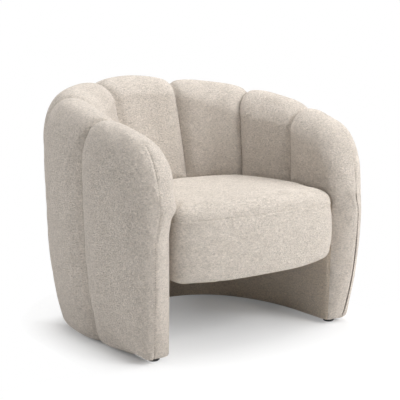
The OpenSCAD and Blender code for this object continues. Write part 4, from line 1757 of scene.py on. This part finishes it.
@dataclass(frozen=True)
class FrameFinishes:
    """Finishes of the timber, fasteners, webbing and glides that stay as packed."""

    plywood: SawnWood = SawnWood("plywood", (0.6, 0.43, 0.26), (1.0, 5.0, 5.0), 9.0, 55.0)
    timber: SawnWood = SawnWood("softwood", (0.5, 0.35, 0.2), (6.0, 6.0, 1.0), 7.0)
    hardboard: SawnWood = SawnWood("hardboard", (0.28, 0.17, 0.09), (3.0, 3.0, 3.0), 60.0)
    steel: PlatedSteel = PlatedSteel("zinc_plating", (0.56, 0.58, 0.6))
    glide: MouldedPlastic = MouldedPlastic("glide_plastic", (0.02, 0.02, 0.02))
    webbing: WovenCloth = WovenCloth("elastic_webbing", (0.06, 0.055, 0.05))

    def dress(self) -> None:
        """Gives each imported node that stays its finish."""
        finishes = {
            self.plywood: ("base_plate", "seat_upper_ring", "seat_lower_ring", "formers_back",
                           "formers_shoulder", "formers_arm", "arm_front_boards"),
            self.timber: ("seat_posts", "seat_level_rails", "top_rails"),
            self.hardboard: ("seat_band",),
            self.steel: ("seat_bolts", "bolt_washers", "t_nuts", "glide_studs"),
            self.glide: ("front_glides", "rear_glides"),
            self.webbing: ("seat_webbing_across", "seat_webbing_along"),
        }
        for finish, nodes in finishes.items():
            made = finish.build()
            for node in nodes:
                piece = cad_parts[node]
                piece.data.materials.clear()
                piece.data.materials.append(made)
            log.info("%s: %s", made.name, ", ".join(nodes))


# ---- studio


@dataclass(frozen=True)
class Lamp:
    """One soft square lamp that looks at the chair from a direction."""

    name: str
    azimuth: float
    elevation: float
    size: float
    level: float
    away: float = 4.0
    aim: tuple[float, float, float] = (0.0, 0.0, 0.35)

    def build(self) -> None:
        """Adds the lamp, with its power from its level and distance."""
        a, e = math.radians(self.azimuth), math.radians(self.elevation)
        way = Vector((math.cos(a) * math.cos(e), math.sin(a) * math.cos(e), math.sin(e)))
        data = bpy.data.lights.new(self.name, "AREA")
        data.shape = "RECTANGLE"
        data.size = data.size_y = self.size
        data.energy = self.level * (math.pi * self.away) ** 2
        made = bpy.data.objects.new(self.name, data)
        bpy.context.scene.collection.objects.link(made)
        made.location = Vector(self.aim) + way * self.away
        made.rotation_euler = (-way).to_track_quat("-Z", "Y").to_euler()


@dataclass(frozen=True)
class PaleFloor:
    """White floor that keeps the chair's shadow and is clear when seen from below.

    The camera sees the painted floor's shade mixed with plain white. The share of white grows with
    the distance from the chair, and it is small close beside the outer foot of the wall.
    """

    half_size: float = 14.0
    paint: float = 0.92
    dark_at: tuple[float, float, float] = (0.22, 0.0, 0.0)
    near: float = 0.12
    far: float = 1.07
    near_white: float = 0.13
    foot_line: tuple[float, float] = (-0.33, 0.0)
    foot_starts: float = 0.33
    foot_near: float = 0.35
    foot_far: float = 0.50
    foot_white: float = 0.08
    rear_from: float = 0.05
    rear_to: float = 0.20
    rear_white: float = 0.86
    front_from: float = -0.38
    front_to: float = -0.30

    def white(self, tree: bpy.types.NodeTree) -> bpy.types.NodeSocket:
        """Works out the share of white at each place.

        Args:
            tree: The floor's nodes.

        Returns:
            The share's socket.
        """
        where = _node(tree, "TexCoord").outputs["Object"]
        y = _node(tree, "SeparateXYZ", Vector=where).outputs["Y"]
        held = _node(tree, "Clamp", Value=y, Min=self.foot_line[0], Max=self.foot_line[1])
        nearest = _node(tree, "CombineXYZ", Y=held.outputs["Result"])
        away, beside = (_node(tree, "VectorMath", operation="DISTANCE", Vector=where) for _ in range(2))
        away.inputs[1].default_value = self.dark_at
        tree.links.new(nearest.outputs["Vector"], beside.inputs[1])
        around = _range(tree, away.outputs["Value"], self.near, self.far, self.near_white)
        foot = _range(tree, beside.outputs["Value"], self.foot_near, self.foot_far, self.foot_white)
        rear = _range(tree, y, self.rear_from, self.rear_to, 0.0, self.rear_white)
        outside = _math(tree, "GREATER_THAN", beside.outputs["Value"], self.foot_starts)
        share = _math(tree, "MULTIPLY", outside, _range(tree, y, self.front_from, self.front_to))
        mix = _node(tree, "Mix", data_type="FLOAT")
        for socket, value in zip((0, 2, 3), (share, around, _math(tree, "MAXIMUM", foot, rear))):
            tree.links.new(value, mix.inputs[socket])
        return mix.outputs[0]

    def build(self) -> None:
        """Adds the floor."""
        bm = bmesh.new()
        bmesh.ops.create_grid(bm, x_segments=1, y_segments=1, size=self.half_size)
        made = _to_object("floor", bm)
        material = bpy.data.materials.new("floor_paint")
        material.use_nodes = True
        tree = material.node_tree
        tree.nodes.clear()
        paint = _node(tree, "BsdfPrincipled", Base_Color=_tint((self.paint,) * 3, 1.0), Roughness=0.9,
                      Specular_IOR_Level=0.1)
        seen = _node(tree, "LightPath").outputs["Is Camera Ray"]
        top = _mixed(tree, _math(tree, "MULTIPLY", seen, self.white(tree)), paint.outputs["BSDF"],
                     _node(tree, "Emission", Strength=1.0).outputs["Emission"])
        below = _node(tree, "NewGeometry").outputs["Backfacing"]
        both = _mixed(tree, below, top, _node(tree, "BsdfTransparent").outputs["BSDF"])
        _node(tree, "OutputMaterial", Surface=both)
        made.data.materials.append(material)


def _mixed(tree: bpy.types.NodeTree, share: bpy.types.NodeSocket, first: bpy.types.NodeSocket,
           second: bpy.types.NodeSocket) -> bpy.types.NodeSocket:
    """Mixes two shaders by a share.

    Args:
        tree: The node tree.
        share: The share of the second.
        first: The first shader's socket.
        second: The second shader's socket.

    Returns:
        The mixture's socket.
    """
    mix = _node(tree, "MixShader", Fac=share)
    tree.links.new(first, mix.inputs[1])
    tree.links.new(second, mix.inputs[2])
    return mix.outputs["Shader"]


@dataclass(frozen=True)
class Studio:
    """Pale floor, soft lamps and the camera at the photograph's angle."""

    azimuth: float = -35.072
    elevation: float = 9.908
    distance: float = 2.90825
    focal_pixels: float = 969.848
    picture: float = 400.0
    sensor: float = 36.0
    aim_right: float = 0.02474
    aim_height: float = 0.360475
    frame_shift: float = 0.1384 - 0.181551
    surround: float = 0.10
    lamps: tuple[Lamp, ...] = (Lamp("key", 296, 27, 1.7, 0.65), Lamp("key_right", 330, 35, 1.7, 0.37),
                               Lamp("left", 160, 22, 2.0, 0.35), Lamp("rear", 59, 49, 1.7, 0.37),
                               Lamp("top", 0, 88, 3.0, 0.72))

    def camera(self) -> None:
        """Places the camera."""
        a, e = math.radians(self.azimuth), math.radians(self.elevation)
        right = Vector((math.cos(a), math.sin(a), 0))
        back = Vector((math.sin(a) * math.cos(e), -math.cos(a) * math.cos(e), math.sin(e)))
        data = bpy.data.cameras.new("camera")
        data.sensor_width = self.sensor
        data.lens = self.focal_pixels * self.sensor / self.picture
        made = bpy.data.objects.new("camera", data)
        bpy.context.scene.collection.objects.link(made)
        aim = right * self.aim_right + Vector((0, self.frame_shift, self.aim_height))
        place = aim + back * self.distance
        turn = Matrix((right, back.cross(right), back)).transposed().to_4x4()
        made.matrix_world = Matrix.Translation(place) @ turn
        bpy.context.scene.camera = made

    def world(self) -> None:
        """Sets a white surround for the camera and a soft one for the light."""
        world = bpy.data.worlds.new("studio")
        bpy.context.scene.world = world
        world.use_nodes = True
        tree = world.node_tree
        tree.nodes.clear()
        path = _node(tree, "LightPath").outputs
        seen = _math(tree, "MAXIMUM", path["Is Camera Ray"], path["Is Glossy Ray"])
        seen = _math(tree, "MAXIMUM", seen, path["Is Transmission Ray"])
        soft = _node(tree, "Background", Color=(0.96, 0.98, 1.0, 1.0), Strength=self.surround)
        white = _node(tree, "Background", Color=(1.0, 1.0, 1.0, 1.0), Strength=1.0)
        _node(tree, "OutputWorld", Surface=_mixed(tree, seen, soft.outputs["Background"],
                                                  white.outputs["Background"]))

    def build(self) -> None:
        """Sets up the whole studio."""
        self.camera()
        for lamp in self.lamps:
            lamp.build()
        self.world()
        PaleFloor().build()
        bpy.context.scene.view_settings.view_transform = "Standard"


# ---- the chair


def main() -> None:
    """Builds the studio and the chair in order."""
    logging.basicConfig(level=logging.INFO, format="%(message)s")
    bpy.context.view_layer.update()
    Studio().build()
    wall = BarrelWall()
    cover = LoopedCloth("cover_cloth", (0.765, 0.686, 0.608)).build()
    seat_cloth = LoopedCloth("seat_cloth", (0.725, 0.653, 0.578), curl_height=0.0062).build()
    # The lining's base is lighter than the cover's: painted light that stands in for fill light in the
    # shade under the seat.
    lining_cloth_painted_fill = LoopedCloth("lining_cloth_painted_fill", (0.93, 0.80, 0.66), mottle=0.12).build()
    covers = WallCovers(wall)
    # The nose seams' thread is real, but its dark colour also paints the shade in the stitch holes.
    covers.build(cover, WovenCloth("sewing_thread_and_hole_shade", (0.36, 0.31, 0.26), 900.0).build())
    InnerLining(wall, covers.lining_top).build(lining_cloth_painted_fill)
    drum = SeatDrum(wall)
    drum.top(seat_cloth)
    drum.border(seat_cloth)
    DustCovers(wall, drum).build(WovenCloth("dust_cover_cloth", (0.03, 0.03, 0.03), 700.0).build())
    FrameFinishes().dress()


if __name__ == "__main__":
    main()
